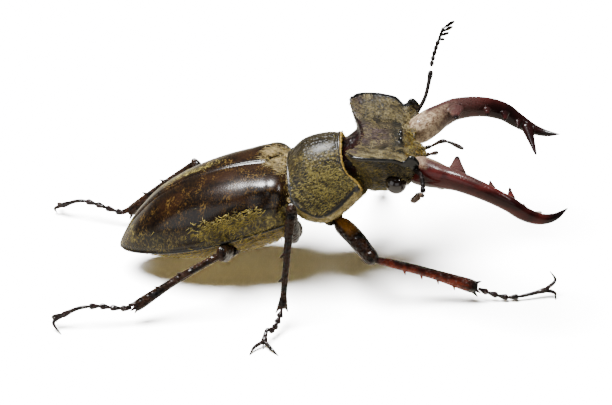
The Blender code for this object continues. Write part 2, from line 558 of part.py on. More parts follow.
def jaw_rings(side, grow=0.0, start=0.0, end=1.0, count=17):
    """Rings of one jaw: a rounded blade, deeper than thick, with its upper edge leaning inwards."""
    line = Line([(x, side * y, z) for x, y, z in JAW_LINE])
    rings = []
    for share in evenly(count):
        t = start + (end - start) * share ** 1.25
        way = line.way(t)
        outward = way.cross(Vector((0, 0, 1))).normalized() * -side
        lift = (outward.cross(way) * side).normalized()
        tilt = math.radians(JAW_TILT)
        long_axis = lift * math.sin(tilt) - outward * math.cos(tilt)
        short_axis = lift * math.cos(tilt) + outward * math.sin(tilt)
        deep, thick = value_at(JAW_DEPTH, t) + grow, value_at(JAW_THICKNESS, t) + grow
        ring = []
        for i in range(10):
            a = 2 * math.pi * i / 10
            ring.append(line.at(t) + long_axis * math.cos(a) * deep + short_axis * math.sin(a) * thick)
        rings.append(ring)
    return rings


def jaw(side_name, side, world):
    blade = solid(f"mandible_{side_name}", jaw_rings(side), world, "jaw")
    teeth = []
    for root, tip, radius, flat in JAW_TEETH:
        rings = cone(on_side(root, side), on_side(tip, side), radius, flat, 7, blunt=0.16)
        teeth.append(solid("tooth", rings, world))
    return fuse(blade, teeth)


def coxa(leg_name, leg, world):
    """The hip piece: a rounded lobe in a socket of the body."""
    size = COXA_SIZE[leg_name.split("_")[0]]
    centre = Vector(leg["hip"])
    return solid(f"{leg_name}_coxa", ball(centre, size, 10, 6), world, "leg")


def coxa_socket(leg_name, leg, world):
    size = [s + GAP for s in COXA_SIZE[leg_name.split("_")[0]]]
    return solid("socket", ball(leg["hip"], size, 10, 6), world)


def thigh_line(leg):
    hip, knee = Vector(leg["hip"]), Vector(leg["knee"])
    way = (knee - hip).normalized()
    out = Vector((0, 1 if knee.y > 0 else -1, 0))
    start = hip + (way * 0.75 + out * 0.4) * 0.6
    thigh = Vector(leg["thigh"])
    return Line([start, thigh, knee + (knee - thigh).normalized() * 0.65])


def shin_line(leg):
    knee, end = Vector(leg["knee"]), Vector(leg["shin_end"])
    return Line([knee, (knee + end) / 2 + Vector((0, 0, 0.3)), end])


def femur(leg_name, leg, world):
    """The thigh: swollen and slightly flat, with a slot at the knee that the shin folds into."""
    kind = leg_name.split("_")[0]
    r = THIGH_RADIUS[kind]
    radii = [(0, 0.45), (0.07, 0.75), (0.2, r * 0.93), (0.5, r), (0.8, r * 0.86), (0.93, r * 0.8), (1, r * 0.35)]
    rings = tube_rings(thigh_line(leg), radii, 10, THIGH_FLAT[kind], face=(1, 0, 0.2), count=11)
    thigh = solid(f"{leg_name}_femur", rings, world, "leg")
    cutter = tube_rings(shin_line(leg), KNEE_SLOT, 8, end=KNEE_SLOT_END, count=3, face=(1, 0.1, 0.2))
    shin = Line([leg["knee"], leg["shin_end"]])
    back = Vector(leg["knee"]) - shin.way(0) * 0.35
    cutter.insert(0, [back + (p - Vector(leg["knee"])) * 0.6 for p in cutter[0]])
    return hollow(thigh, [solid("slot", cutter, world)])


def femur_socket(leg_name, leg, world):
    scale = SOCKET_SCALE[leg_name.split("_")[0]]
    radii = [(t, r * scale) for t, r in THIGH_SOCKET]
    rings = tube_rings(thigh_line(leg), radii, 8, end=SOCKET_END, count=4, face=(1, 0, 0.2))
    return solid("socket", rings, world)


def tibia(leg_name, leg, world):
    """The shin: slim at the knee, wider to the foot, toothed on its outer edge and spurred at its end."""
    kind = leg_name.split("_")[0]
    r, radii, line = SHIN_RADIUS[kind], SHIN_RADII[kind], shin_line(leg)
    face = (0, 0, 1) if kind != "middle" else (1, 0, 0)
    finish = "front_shin" if kind == "front" else "leg"
    rings = tube_rings(line, radii, 8, 0.85, face=face, count=9, start=0.02)
    shin = solid(f"{leg_name}_tibia", rings, world, finish)
    way = line.way(0.9)
    out = Vector((0, -1 if leg["knee"][1] < 0 else 1, 0))
    facing, outward = SPINE_EDGE[kind]
    edge = Vector(facing) + out * outward
    edge = (edge - way * edge.dot(way)).normalized()
    spines = []
    for t in SHIN_SPINES[kind]:
        r_here = value_at(radii, t)
        root = line.at(t) + edge * r_here * 0.3
        tip = line.at(t) + edge * (r_here * 0.85 + 0.55) + way * 0.5
        spines.append(solid("spine", cone(root, tip, 0.36, 1.0, 5, steps=3, blunt=0.2), world))
    end, across = line.at(0.96), way.cross(edge)
    for lean, reach in ((edge, 1.0), (edge * -0.9, 0.75), (edge * 0.5 + across * 0.8, 0.8),
                        (edge * 0.5 - across * 0.8, 0.8)):
        root = end + lean * r * 0.55
        tip = end + lean * r * 1.55 + way * (0.7 + reach * 0.6)
        tip.z = max(tip.z, 0.08)
        spines.append(solid("spur", cone(root, tip, 0.4, 1.0, 5, steps=3, blunt=0.2), world))
    return fuse(shin, spines)


def tarsus(leg_name, leg, world):
    """The foot: four short knobbed joints, one long claw joint, two hooked claws and a bristle between."""
    start = Vector(leg["shin_end"])
    points = [Vector(p) for p in leg["foot"]]
    lead = (points[0] - start).normalized()
    line = Line([start + lead * (GAP + 0.1)] + points)
    knot = FOOT_BEADS / 4
    radii = [(0, 0.26)]
    for k in range(4):
        radii += [(knot * (k + 0.25), 0.3), (knot * (k + 0.8), 0.47), (knot * (k + 1) - 0.012, 0.3)]
    radii += [(0.64, 0.28), (0.85, 0.33), (0.96, 0.46), (1, 0.3)]
    rings = []
    for t, _ in radii:
        rings += tube_rings(line, radii, 6, 0.95, face=(0.1, 0.05, 1), start=t, end=t, count=1)
    foot = solid(f"{leg_name}_tarsus", rings, world, "foot")
    end, parts = line.at(0.96), []
    for middle, tip in leg["claws"]:
        middle, tip = Vector(middle), Vector(tip)
        root = end + (middle - end).normalized() * 0.1
        plane = (middle - root).cross(tip - middle).normalized()
        rings = tube_rings(Line([root, middle, tip]), CLAW_RADII, 5, count=5, face=plane)
        parts.append(solid("claw", rings, world))
    tip = end + line.way(1.0) * 1.1 + Vector((0, 0, -0.15))
    parts.append(solid("bristle", cone(line.at(0.93), tip, 0.3, 1.0, 5, steps=3), world))
    return fuse(foot, parts)


def scape(side_name, feeler, world):
    """The feeler's long first joint."""
    radii = [(0, 0.3), (0.3, 0.27), (0.8, 0.28), (0.93, 0.38), (1, 0.3)]
    rings = tube_rings(Line(feeler["scape"]), radii, 6, count=8, face=(1, 0, 0))
    return solid(f"antenna_scape_{side_name}", rings, world, "feeler")


def flagellum(side_name, feeler, world):
    """The feeler's outer part: small beads, then four joints drawn out into the leaves of the club."""
    line = Line(feeler["outer"])
    radii, bead = [(0, 0.26)], BEADS_END / 5
    for k in range(5):
        radii += [((k + 0.6) * bead, 0.36), ((k + 1) * bead, 0.26)]
    radii += [(1, 0.3)]
    rings = []
    for t, _ in radii:
        rings += tube_rings(line, radii, 6, start=t, end=t, count=1, face=(1, 0.1, 0))
    stem = solid(f"antenna_flagellum_{side_name}", rings, world, "feeler")
    leaf_way, leaves = Vector(feeler["leaf_way"]).normalized(), []
    for k, reach in enumerate(feeler["leaves"]):
        root = line.at(CLUB_STARTS + LEAF_STEP * k)
        tip = root + leaf_way * reach + line.way(0.9) * (0.25 * k - 0.15)
        leaf = Line([root, (root + tip) / 2, tip])
        rings = tube_rings(leaf, LEAF_RADII, 6, 0.5, face=line.way(0.8), count=4)
        leaves.append(solid("leaf", rings, world))
    return fuse(stem, leaves)


def palp(name, points, world):
    radii = [(0, 0.28), (0.3, 0.3), (0.34, 0.26), (0.6, 0.34), (0.66, 0.27), (0.9, 0.33), (1, 0.2)]
    rings = tube_rings(Line(points), radii, 6, count=9, start=0.04, face=(0.1, 0, 1))
    return solid(name, rings, world, "palp")


def centre_on_origin(root):
    """Moves the root so that the middle of the whole beetle's outline in plan is the origin."""
    bpy.context.view_layer.update()
    points = [o.matrix_world @ v.co for o in bpy.data.objects if o.type == "MESH" for v in o.data.vertices]
    for axis in range(2):
        values = [p[axis] for p in points]
        root.location[axis] = -(min(values) + max(values)) / 2
    root.location.z = -min(p.z for p in points)


def main():
    for leftover in list(bpy.data.objects):
        bpy.data.objects.remove(leftover)
    world = bpy.data.objects.new("beetle", None)
    bpy.context.scene.collection.objects.link(world)
    hind = frame("hind_frame", HIND_ORIGIN, HIND_PITCH, world)
    chest = frame("chest_frame", CHEST_ORIGIN, CHEST_PITCH, world)
    bpy.context.view_layer.update()

    sides = (("left", 1), ("right", -1))
    head(world)
    for side_name, side in sides:
        eye(side_name, side, world)
        jaw(side_name, side, world)
        scape(side_name, FEELERS[side_name], world)
        flagellum(side_name, FEELERS[side_name], world)
        wing_case(side_name, side, hind)
    for name, points in PALPS.items():
        palp(name, points, world)

    chest_shell, hind_chest, belly = prothorax(chest), metathorax(hind), abdomen(hind)
    scutellum(hind)
    sockets = {chest_shell: [], hind_chest: [], belly: []}
    beside = {"front": [chest_shell], "middle": [hind_chest], "hind": [hind_chest, belly]}
    for leg_name, leg in LEGS.items():
        for shell in beside[leg_name.split("_")[0]]:
            sockets[shell] += [coxa_socket(leg_name, leg, world), femur_socket(leg_name, leg, world)]
        hollow(coxa(leg_name, leg, world), [femur_socket(leg_name, leg, world)])
        femur(leg_name, leg, world)
        tibia(leg_name, leg, world)
        stand_flat(tarsus(leg_name, leg, world), world)
    for shell, cutters in sockets.items():
        hollow(shell, cutters)
    centre_on_origin(world)


main()
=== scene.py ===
# %% [markdown]
# A male stag beetle with raised, open jaws, modelled as a museum would show it: life size and standing still.
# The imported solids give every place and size, so each finer piece is laid over the solid that it stands for.

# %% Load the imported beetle
import math

import bpy
import numpy as np
from mathutils import Matrix, Quaternion, Vector, noise


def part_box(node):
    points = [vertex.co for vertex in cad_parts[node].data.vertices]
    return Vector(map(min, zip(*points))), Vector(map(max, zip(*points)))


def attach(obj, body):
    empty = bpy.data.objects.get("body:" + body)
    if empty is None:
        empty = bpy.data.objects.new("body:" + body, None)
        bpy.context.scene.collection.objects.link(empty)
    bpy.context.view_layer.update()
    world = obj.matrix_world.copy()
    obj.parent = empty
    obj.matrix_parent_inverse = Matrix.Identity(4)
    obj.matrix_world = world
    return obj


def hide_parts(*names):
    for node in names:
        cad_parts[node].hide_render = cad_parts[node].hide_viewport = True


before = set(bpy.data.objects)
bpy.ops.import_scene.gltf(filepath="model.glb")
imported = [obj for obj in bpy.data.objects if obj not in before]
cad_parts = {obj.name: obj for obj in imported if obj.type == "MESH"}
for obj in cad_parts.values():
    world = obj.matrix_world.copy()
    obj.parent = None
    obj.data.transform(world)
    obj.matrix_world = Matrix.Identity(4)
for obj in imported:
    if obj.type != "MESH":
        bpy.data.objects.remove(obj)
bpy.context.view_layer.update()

# %% [markdown]
# The solids are in metres, but a beetle is easier to think about in millimetres, so every size below is in
# millimetres and MM turns it into metres. The solids were centred on their own outline after they were posed,
# so HOME is where the beetle's own origin, on the floor under its waist, came to lie. The eyes give it away.

# %% Units and the beetle's own origin
MM = 0.001
EYE_X, EYE_Y, EYE_Z = 13.2, 8.25, 20.15
WAIST = Vector((-3.0, 0.0, 19.5))
SIDES = (("left", 1), ("right", -1))


def box_middle(node):
    low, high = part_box(node)
    return (Vector(low) + Vector(high)) / 2 / MM


HOME = (box_middle("eye_left") + box_middle("eye_right")) / 2 - Vector((EYE_X, 0, EYE_Z))
print("home", [round(c, 3) for c in HOME])

# %% [markdown]
# The photograph was taken with a long lens from a little in front of the beetle's right side, looking down by
# about 29 degrees. A camera far away with a long lens gives the same flat perspective.

# %% Camera
CAMERA_AWAY, CAMERA_TURN, CAMERA_RISE = 350.0, math.radians(2.5), math.radians(29.0)
LOOK_AT = Vector((0.0, 0.0, 12.2)) + HOME

view = Vector((-math.sin(CAMERA_TURN) * math.cos(CAMERA_RISE), math.cos(CAMERA_TURN) * math.cos(CAMERA_RISE),
               -math.sin(CAMERA_RISE)))
camera = bpy.data.objects.new("camera", bpy.data.cameras.new("camera"))
bpy.context.scene.collection.objects.link(camera)
camera.location = (LOOK_AT - view * CAMERA_AWAY) * MM
camera.rotation_euler = view.to_track_quat("-Z", "Y").to_euler()
camera.data.sensor_width, camera.data.lens, camera.data.clip_start = 36.0, 140.0, 0.01
bpy.context.scene.camera = camera
print("camera", [round(c, 4) for c in camera.location])

# %% [markdown]
# A white studio table comes out pure white in a photograph, while the beetle on it stays dark. One wide plane
# makes the table. The room is dim above and paler below, as a white table throws light up at the belly.

# %% Table and room
bpy.ops.object.select_all(action="DESELECT")
bpy.ops.mesh.primitive_plane_add(size=6.0, location=(0, 0, 0))
table = bpy.context.object
table.name = "floor"
table.visible_diffuse = table.visible_glossy = table.visible_shadow = False

world = bpy.data.worlds.new("studio")
world.use_nodes = True
bpy.context.scene.world = world
room = world.node_tree
way, parts, height, levels = (room.nodes.new("ShaderNode" + kind) for kind in (
    "TexCoord", "SeparateXYZ", "MapRange", "ValToRGB"))
for out, into in (
        (way.outputs["Generated"], parts.inputs[0]), (parts.outputs["Z"], height.inputs["Value"]),
        (height.outputs[0], levels.inputs[0]), (levels.outputs[0], room.nodes["Background"].inputs[0])):
    room.links.new(out, into)
height.inputs["From Min"].default_value = -1.0
ROOM_LEVELS = ((0.0, 1.1), (0.46, 1.0), (0.51, 0.10), (1.0, 0.03))
while len(levels.color_ramp.elements) < len(ROOM_LEVELS):
    levels.color_ramp.elements.new(0.5)
for element, (position, level) in zip(levels.color_ramp.elements, ROOM_LEVELS):
    element.position, element.color = position, (level, level * 0.93, level * 0.78, 1)
print("room levels", ROOM_LEVELS)

# %% [markdown]
# Soft lamps overhead light the beetle, and two suns light only the table: one for the white with a soft
# shadow, one for the warm glow inside it. Light linking keeps them apart, as no shade in a real studio could.

# %% Lamps
all_but_table, table_only = (bpy.data.collections.new(name) for name in ("all_but_table", "table_only"))
for linked in (all_but_table, table_only):
    linked.objects.link(table)
all_but_table.collection_objects[0].light_linking.link_state = "EXCLUDE"


def light(name, kind, aim, lit):
    made = bpy.data.objects.new(name, bpy.data.lights.new(name, kind))
    bpy.context.scene.collection.objects.link(made)
    made.rotation_euler = aim.to_euler()
    made.light_linking.receiver_collection = lit
    return made


def lamp(name, place, size, slant, radiance):
    """A soft lamp at a place in millimetres from the beetle, aimed at it, by its face's brightness."""
    aim = (-Vector(place)).to_track_quat("-Z", "Y") @ Quaternion((0, 0, 1), math.radians(slant))
    made = light(name, "AREA", aim, all_but_table)
    made.location = (LOOK_AT + Vector(place)) * MM
    made.data.shape, made.data.size, made.data.size_y = "RECTANGLE", size[0] * MM, size[1] * MM
    made.data.energy = radiance * math.pi * size[0] * size[1] * MM * MM


def table_light(name, way, spread, energy, colour, shadow):
    made = light(name, "SUN", Vector(way).to_track_quat("-Z", "Y"), table_only)
    made.data.angle, made.data.energy, made.data.color = math.radians(spread), energy, colour
    made.data.use_shadow = shadow


lamp("key", (-82, 102, 303), (112, 112), 0, 80)
lamp("overhead", (-78, 21, 320), (300, 220), 0, 1.2)
lamp("front", (171, -36, 280), (130, 26), 30, 24)
lamp("window", (-250, -170, 130), (260, 220), 0, 1.1)
lamp("fill", (60, -330, 140), (260, 160), 0, 0.8)
table_light("table_light", (0.26, 0.2, -1.0), 36, 60.0, (1, 1, 1), True)
table_light("table_glow", (0, 0, -1), 1, 0.34, (1.0, 0.80, 0.30), False)
print("lights", len(bpy.data.lights))

# %% [markdown]
# Shader sums are easier to read as sums. In the editor, each plus and minus is a Math node that is wired by
# hand. Field wraps one socket, so that a mask can be written as (height - 0.2) * 3, and each sign adds its node.

# %% Sums on sockets
class Field:
    """A socket of a material that takes part in sums."""

    def __init__(self, finish, socket):
        self.finish, self.socket = finish, socket

    def sum_with(self, operation, *others):
        return self.finish.node("ShaderNodeMath", {"operation": operation}, dict(enumerate((self, *others))))

    def __add__(self, other):
        return self.sum_with("ADD", other)

    def __mul__(self, other):
        return self.sum_with("MULTIPLY", other)

    def __sub__(self, other):
        return self.sum_with("SUBTRACT", other)

    def __rsub__(self, other):
        return (self * -1) + other

    __radd__, __rmul__ = __add__, __mul__

    def clip(self):
        return self.sum_with("MAXIMUM", 0.0).sum_with("MINIMUM", 1.0)

    def between(self, low, high):
        """0 below low, 1 above high, and a smooth step between."""
        return self.finish.node("ShaderNodeMapRange", {"interpolation_type": "SMOOTHSTEP"},
                                {"Value": self, "From Min": low, "From Max": high})


# %% [markdown]
# A finish is a network of nodes round one shader. Finish starts a material, makes any node by one method, and
# names the few textures that a beetle needs: clouds, cells, a mix of two colours and a bump. It reads the marks
# that each skin carries on its points, so colour follows the beetle's own form and needs no painted picture.

# %% Mixing a finish
class Finish:
    """A material that is being mixed. Places in it are in millimetres from the beetle's own origin."""

    def __init__(self, name, **uniform):
        self.material = bpy.data.materials.new(name)
        self.material.use_nodes = True
        self.tree = self.material.node_tree
        self.shader, self.normal = self.tree.nodes["Principled BSDF"], None
        self.set(**uniform)
        self.place = self.node("ShaderNodeMapping", {}, {
            "Vector": self.node("ShaderNodeTexCoord", {}, {}, "Object"),
            "Scale": (1 / MM,) * 3, "Location": tuple(-c for c in HOME)})

    def put(self, socket, value):
        if isinstance(value, Field):
            self.tree.links.new(value.socket, socket)
        else:
            socket.default_value = value

    def set(self, **sockets):
        for socket, value in sockets.items():
            self.put(self.shader.inputs[socket.replace("_", " ")], value)

    def node(self, kind, settings, inputs, output=0):
        made = self.tree.nodes.new(kind)
        for key, value in settings.items():
            setattr(made, key, value)
        for key, value in inputs.items():
            self.put(made.inputs[key], value)
        return Field(self, made.outputs[output])

    def marks(self, *names):
        return [self.node("ShaderNodeAttribute", {"attribute_name": name}, {}, "Fac") for name in names]

    def stretched(self, size, stretch):
        return self.node("ShaderNodeMapping", {}, {
            "Vector": self.place, "Scale": tuple(1 / (size * s) for s in stretch)})

    def noise(self, size, detail=3.0, stretch=(1, 1, 1), roughness=0.5):
        """Cloudy noise whose blobs are about size millimetres across, longer along an axis by its stretch."""
        place = self.stretched(size, stretch)
        return self.node("ShaderNodeTexNoise", {}, {
            "Vector": place, "Scale": 1.0, "Detail": detail, "Roughness": roughness}, "Fac")

    def cells(self, size, stretch=(1, 1, 1)):
        return self.node("ShaderNodeTexVoronoi", {}, {
            "Vector": self.stretched(size, stretch), "Scale": 1.0}, "Distance")

    def mix(self, share, first, second):
        """One colour laid over another by a share. Either may be a Field or three numbers."""
        first, second = (c if isinstance(c, Field) else (*c, 1.0) for c in (first, second))
        return self.node("ShaderNodeMix", {"data_type": "RGBA"}, {0: share, 6: first, 7: second}, 2)

    def bump(self, height, strength, distance):
        below = {"Normal": self.normal} if self.normal else {}
        self.normal = self.node("ShaderNodeBump", {}, {
            "Height": height, "Strength": strength, "Distance": distance * MM, **below})
        self.set(Normal=self.normal)


white_table = Finish("white_table", Base_Color=(0.93, 0.93, 0.93, 1), Roughness=0.9, Specular_IOR_Level=0.0)
table.data.materials.append(white_table.material)
print("table", table.data.materials[0].name)

# %% [markdown]
# Most of a beetle is smooth shell, so most pieces start as a flat grid that is wrapped round measured rings, as
# paper is wrapped round ribs. A curve through a few measured stops gives every ring between them, and a Line is
# the same thing in space.

# %% Curves
def value_at(stops, t):
    """Height at t of the smooth curve through stops, a list of (t, value)."""
    if t <= stops[0][0]:
        return stops[0][1]
    if t >= stops[-1][0]:
        return stops[-1][1]
    k = max(i for i, stop in enumerate(stops) if stop[0] <= t)
    (t0, v0), (t1, v1) = stops[k], stops[k + 1]

    def slope(i):
        low, high = max(i - 1, 0), min(i + 1, len(stops) - 1)
        return (stops[high][1] - stops[low][1]) / (stops[high][0] - stops[low][0])

    s, span = (t - t0) / (t1 - t0), t1 - t0
    return (v0 * (1 + 2 * s) * (1 - s) ** 2 + v1 * s * s * (3 - 2 * s)
            + span * (slope(k) * s * (1 - s) ** 2 - slope(k + 1) * s * s * (1 - s)))


def evenly(count, start=0.0, end=1.0):
    return [start + (end - start) * i / (count - 1) for i in range(count)]


def bell(distance, width):
    return math.exp(-(distance / width) ** 2)


class Line:
    """A smooth line through points, read at 0 to 1 along it."""

    def __init__(self, points):
        self.points = [Vector(p) for p in points]
        steps = [(b - a).length for a, b in zip(self.points, self.points[1:])]
        self.stops = [sum(steps[:i]) / sum(steps) for i in range(len(self.points))]

    def at(self, t):
        return Vector([value_at([(stop, point[axis]) for stop, point in zip(self.stops, self.points)], t)
                       for axis in range(3)])

    def way(self, t):
        return (self.at(min(t + 0.01, 1.0)) - self.at(max(t - 0.01, 0.0))).normalized()


print("the middle of a curve from 0 to 1:", value_at([(0, 0), (1, 1)], 0.5))

# %% [markdown]
# By hand, a skin would be drawn ring by ring. Here a grid with the right number of cells is added, its points
# are set on the rings, and in edit mode the seam is merged, the ends are closed and poked to a fan, and the
# normals are turned outward. The grid keeps its own unwrap, which the hair uses later.

# %% Wrapped shells
def alone(*pieces):
    """Selects these pieces and nothing else, with the first one active."""
    if bpy.context.mode != "OBJECT":
        bpy.ops.object.mode_set(mode="OBJECT")
    bpy.ops.object.select_all(action="DESELECT")
    for piece in pieces:
        piece.select_set(True)
    if pieces:
        bpy.context.view_layer.objects.active = pieces[0]


def shaped(obj, *steps):
    """Each step of edit mode is done on the whole of a piece."""
    alone(obj)
    bpy.ops.object.mode_set(mode="EDIT")
    for step in steps:
        bpy.ops.mesh.select_all(action="SELECT")
        step()
    bpy.ops.object.mode_set(mode="OBJECT")
    return obj


def close_ends():
    bpy.ops.mesh.fill_holes(sides=0)
    bpy.ops.mesh.select_all(action="DESELECT")
    bpy.ops.mesh.select_face_by_sides(number=4, type="GREATER")
    bpy.ops.mesh.poke()


def placed(points):
    """Places in the beetle's own millimetres as places in the scene."""
    return ((points.reshape(-1, 3) + np.array(HOME)) * MM).ravel()


def sheet(name, rows, wrapped=True):
    """A grid laid on rows of points in the beetle's own millimetres. Wrapped, each row is a ring."""
    alone()
    across = len(rows[0]) if wrapped else len(rows[0]) - 1
    bpy.ops.mesh.primitive_grid_add(x_subdivisions=across, y_subdivisions=len(rows) - 1, size=MM)
    made = bpy.context.object
    made.name = name
    points = np.array([[(*p,) for p in (list(row) + [row[0]] if wrapped else row)] for row in rows])
    made.data.vertices.foreach_set("co", placed(points))
    made.data.update()
    if wrapped:
        shaped(made, lambda: bpy.ops.mesh.remove_doubles(threshold=1e-7), close_ends,
               lambda: bpy.ops.mesh.normals_make_consistent(inside=False))
    bpy.ops.object.shade_smooth()
    return made


# %% [markdown]
# Limbs, teeth and beads are tubes: rings across a Line, with a radius that changes along it and ends that are
# drawn in round. A thorn is such a tube that thins fast from a broad root.

# %% Tubes and thorns
END_SHRINK = (0.35, 0.75, 0.93)


def tube(name, line, radii, sides=16, flat=1.0, face=(0, 0, 1), count=24, start=0.0, end=1.0, fold=None):
    """A sleeve along a line with rounded ends. fold(angle, t) swells or dents its section."""
    rows, stops = [], evenly(count, start, end)
    near = [start + (end - start) * s for s in (0.002, 0.008)]
    stops = [start] + near + stops[1:-1] + [start + end - s for s in reversed(near)] + [end]
    for k, t in enumerate(stops):
        way = line.way(t)
        across = way.cross(Vector(face)).normalized()
        lift = across.cross(way)
        r = value_at(radii, t)
        depth = r * flat
        from_end = min(k, len(stops) - 1 - k)
        shrink = END_SHRINK[from_end] if from_end < len(END_SHRINK) else 1.0
        row = []
        for i in range(sides):
            a = 2 * math.pi * i / sides
            swell = shrink * (1 + (fold(a, t) if fold else 0.0))
            row.append(line.at(t) + across * math.cos(a) * r * swell + lift * math.sin(a) * depth * swell)
        rows.append(row)
    return sheet(name, rows)


def thorn(root, tip, radius, flat=1.0, sides=8, blunt=0.1, count=9):
    """A spine, tooth or claw: broad at the root, with a hollow curve to a small tip."""
    root, tip = Vector(root), Vector(tip)
    radii = [(0, radius), (0.5, radius * 0.55), (0.9, radius * (blunt + 0.1)), (1, radius * blunt)]
    return tube("thorn", Line([root, (root + tip) / 2, tip]), radii, sides, flat, (0.05, 0.02, 1), count)


# %% [markdown]
# A jaw and its teeth are one shell on the real beetle. Overlapping pieces are joined, remeshed finely and
# smoothed, which melts them together. The remesh drops the unwrap, so the skin is unwrapped again. A copy of a
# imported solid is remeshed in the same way, so that its flat facets don't show.

# %% Joining and melting
def joined(name, parts):
    alone(*parts)
    bpy.ops.object.join()
    bpy.context.object.name = name
    return bpy.context.object


def changed(obj, kind, **settings):
    """One modifier added to a piece and applied."""
    alone(obj)
    step = obj.modifiers.new(kind, kind)
    for key, value in settings.items():
        setattr(step, key, value)
    bpy.ops.object.modifier_apply(modifier=step.name)
    return obj


def remeshed(obj, voxel):
    return changed(obj, "REMESH", mode="VOXEL", voxel_size=voxel * MM, use_smooth_shade=True)


def melted(obj, voxel, rounds):
    changed(remeshed(obj, voxel), "SMOOTH", factor=0.5, iterations=rounds)
    return shaped(obj, lambda: bpy.ops.uv.smart_project(angle_limit=math.radians(66), island_margin=0.01))


def packed_copy(node, voxel, rounds=6):
    made = bpy.data.objects.new(node + "_copy", bpy.data.objects[node].data.copy())
    bpy.context.scene.collection.objects.link(made)
    return melted(shaped(made, lambda: bpy.ops.mesh.remove_doubles(threshold=1e-6)), voxel, rounds)


def dressed(obj, name, slot, finish, *nodes):
    """Names a finished piece, gives it its finish, hangs it on the root and hides the solids that it stands for.
    """
    obj.name = obj.data.name = name
    obj.data.materials.clear()
    obj.data.materials.append(finish)
    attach(obj, "root")
    if nodes:
        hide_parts(*nodes)
    print(name, len(obj.data.polygons), "faces")


# %% [markdown]
# A painter masks a shell by where things are: near an edge, below a line, in a hollow. A mark is such a mask.
# It is worked out once for every point of a skin, in the beetle's own millimetres, and kept on the skin as an
# attribute. The coat uses the same rules to know where hair grows, so skin and hair carry the same pattern.

# %% Marks on a skin
def ramp(value, low, high):
    t = np.clip((value - low) / (high - low), 0, 1)
    return t * t * (3 - 2 * t)


def fade(value, low, high):
    return 1 - ramp(value, low, high)


def cloud(points, size, seed=0.0):
    """Smooth noise between 0 and 1 at each of many places."""
    return np.array([noise.noise(Vector(p) / size + Vector((seed, seed, seed))) for p in points]) * 0.5 + 0.5


def from_place(points, place, stretch=1.0):
    return np.linalg.norm((points - np.array(place)) * stretch, axis=1)


def from_path(points, path):
    """How far each of many places lies from a path of points."""
    best = np.full(len(points), 1e9)
    path = [np.array(p, float) for p in path]
    for a, b in zip(path, path[1:]):
        t = np.clip(((points - a) @ (b - a)) / ((b - a) @ (b - a)), 0, 1)
        best = np.minimum(best, np.linalg.norm(points - a - t[:, None] * (b - a), axis=1))
    return best


def read(items, what, width, kind=float):
    values = np.empty(len(items) * width, kind)
    items.foreach_get(what, values)
    return values.reshape(-1, width)


def places_of(mesh):
    return read(mesh.vertices, "co", 3) / MM - np.array(HOME)


def mark(obj, name, rule):
    """A number from 0 to 1 at every point of a piece, for its finish. rule takes places in millimetres."""
    layer = obj.data.attributes.new(name, "FLOAT", "POINT")
    layer.data.foreach_set("value", np.clip(rule(places_of(obj.data)), 0, 1).astype(np.float32))


# %% [markdown]
# The hind body hangs down behind the waist and the chest rises before it. Each has its own upright frame, in
# which its shell is easy to describe, and which is then tipped into the pose about the waist.

# %% The tipped frames
def tipped(pitch):
    return Matrix.Translation(WAIST) @ Matrix.Rotation(math.radians(-pitch), 4, "Y")


HIND, CHEST = tipped(18.5), tipped(20.0)


def in_frame(points, tip):
    return (points - np.array(WAIST)) @ np.array(tip.to_3x3())


def in_hind(points):
    """How far back from the waist places lie, how far out from the middle, and how far below the back."""
    local = in_frame(points, HIND)
    return -local[:, 0], np.abs(local[:, 1]), -local[:, 2]


print("waist", WAIST[:])

# %% [markdown]
# The wing cases are two thin domes that meet along the back. Each is a grid laid on half an arch, from the seam
# to the side rim, then thickened. The rim and the seam are turned up into a fine bead with a groove beside it.
# The arch's own formula, a rounded square, makes the case flat on top and steep at the side.

# %% Wing cases
CASE_LENGTH, CASE_EDGE_Z, CASE_WALL = 28.1, -6.4, 0.3
CASE_RIDGE = [(0, -0.5), (1, 0.0), (2.5, 0.4), (5.5, 0.95), (9, 1.25), (13, 1.1), (17, 0.55),
              (20.4, -0.4), (23.2, -1.85), (25.3, -3.3), (27.1, -5.0), (28.1, -6.15)]
CASE_HALF_WIDTH = [(0, 7.0), (0.8, 8.0), (2.5, 8.55), (8, 8.95), (13, 8.85), (17, 8.15), (20.4, 7.0),
                   (23.2, 5.5), (25.3, 4.15), (27.1, 2.45), (28.1, 0.8)]
CASE_SQUARENESS = [(0, 3.6), (2, 4.3), (6, 3.2), (14, 2.7), (22, 2.4), (28.1, 2.2)]
CASE_SEAM = [(0, 1.95), (1.3, 1.6), (2.4, 0.8), (2.9, 0.1), (28.1, 0.04)]


def bead(distance, width, height, groove=0.07):
    """The raised cord along an edge and the groove behind it, by distance from the edge."""
    if distance < width:
        return height * math.sin(math.pi * distance / width) ** 0.7
    return -groove * bell(distance - width * 1.5, width * 0.5)


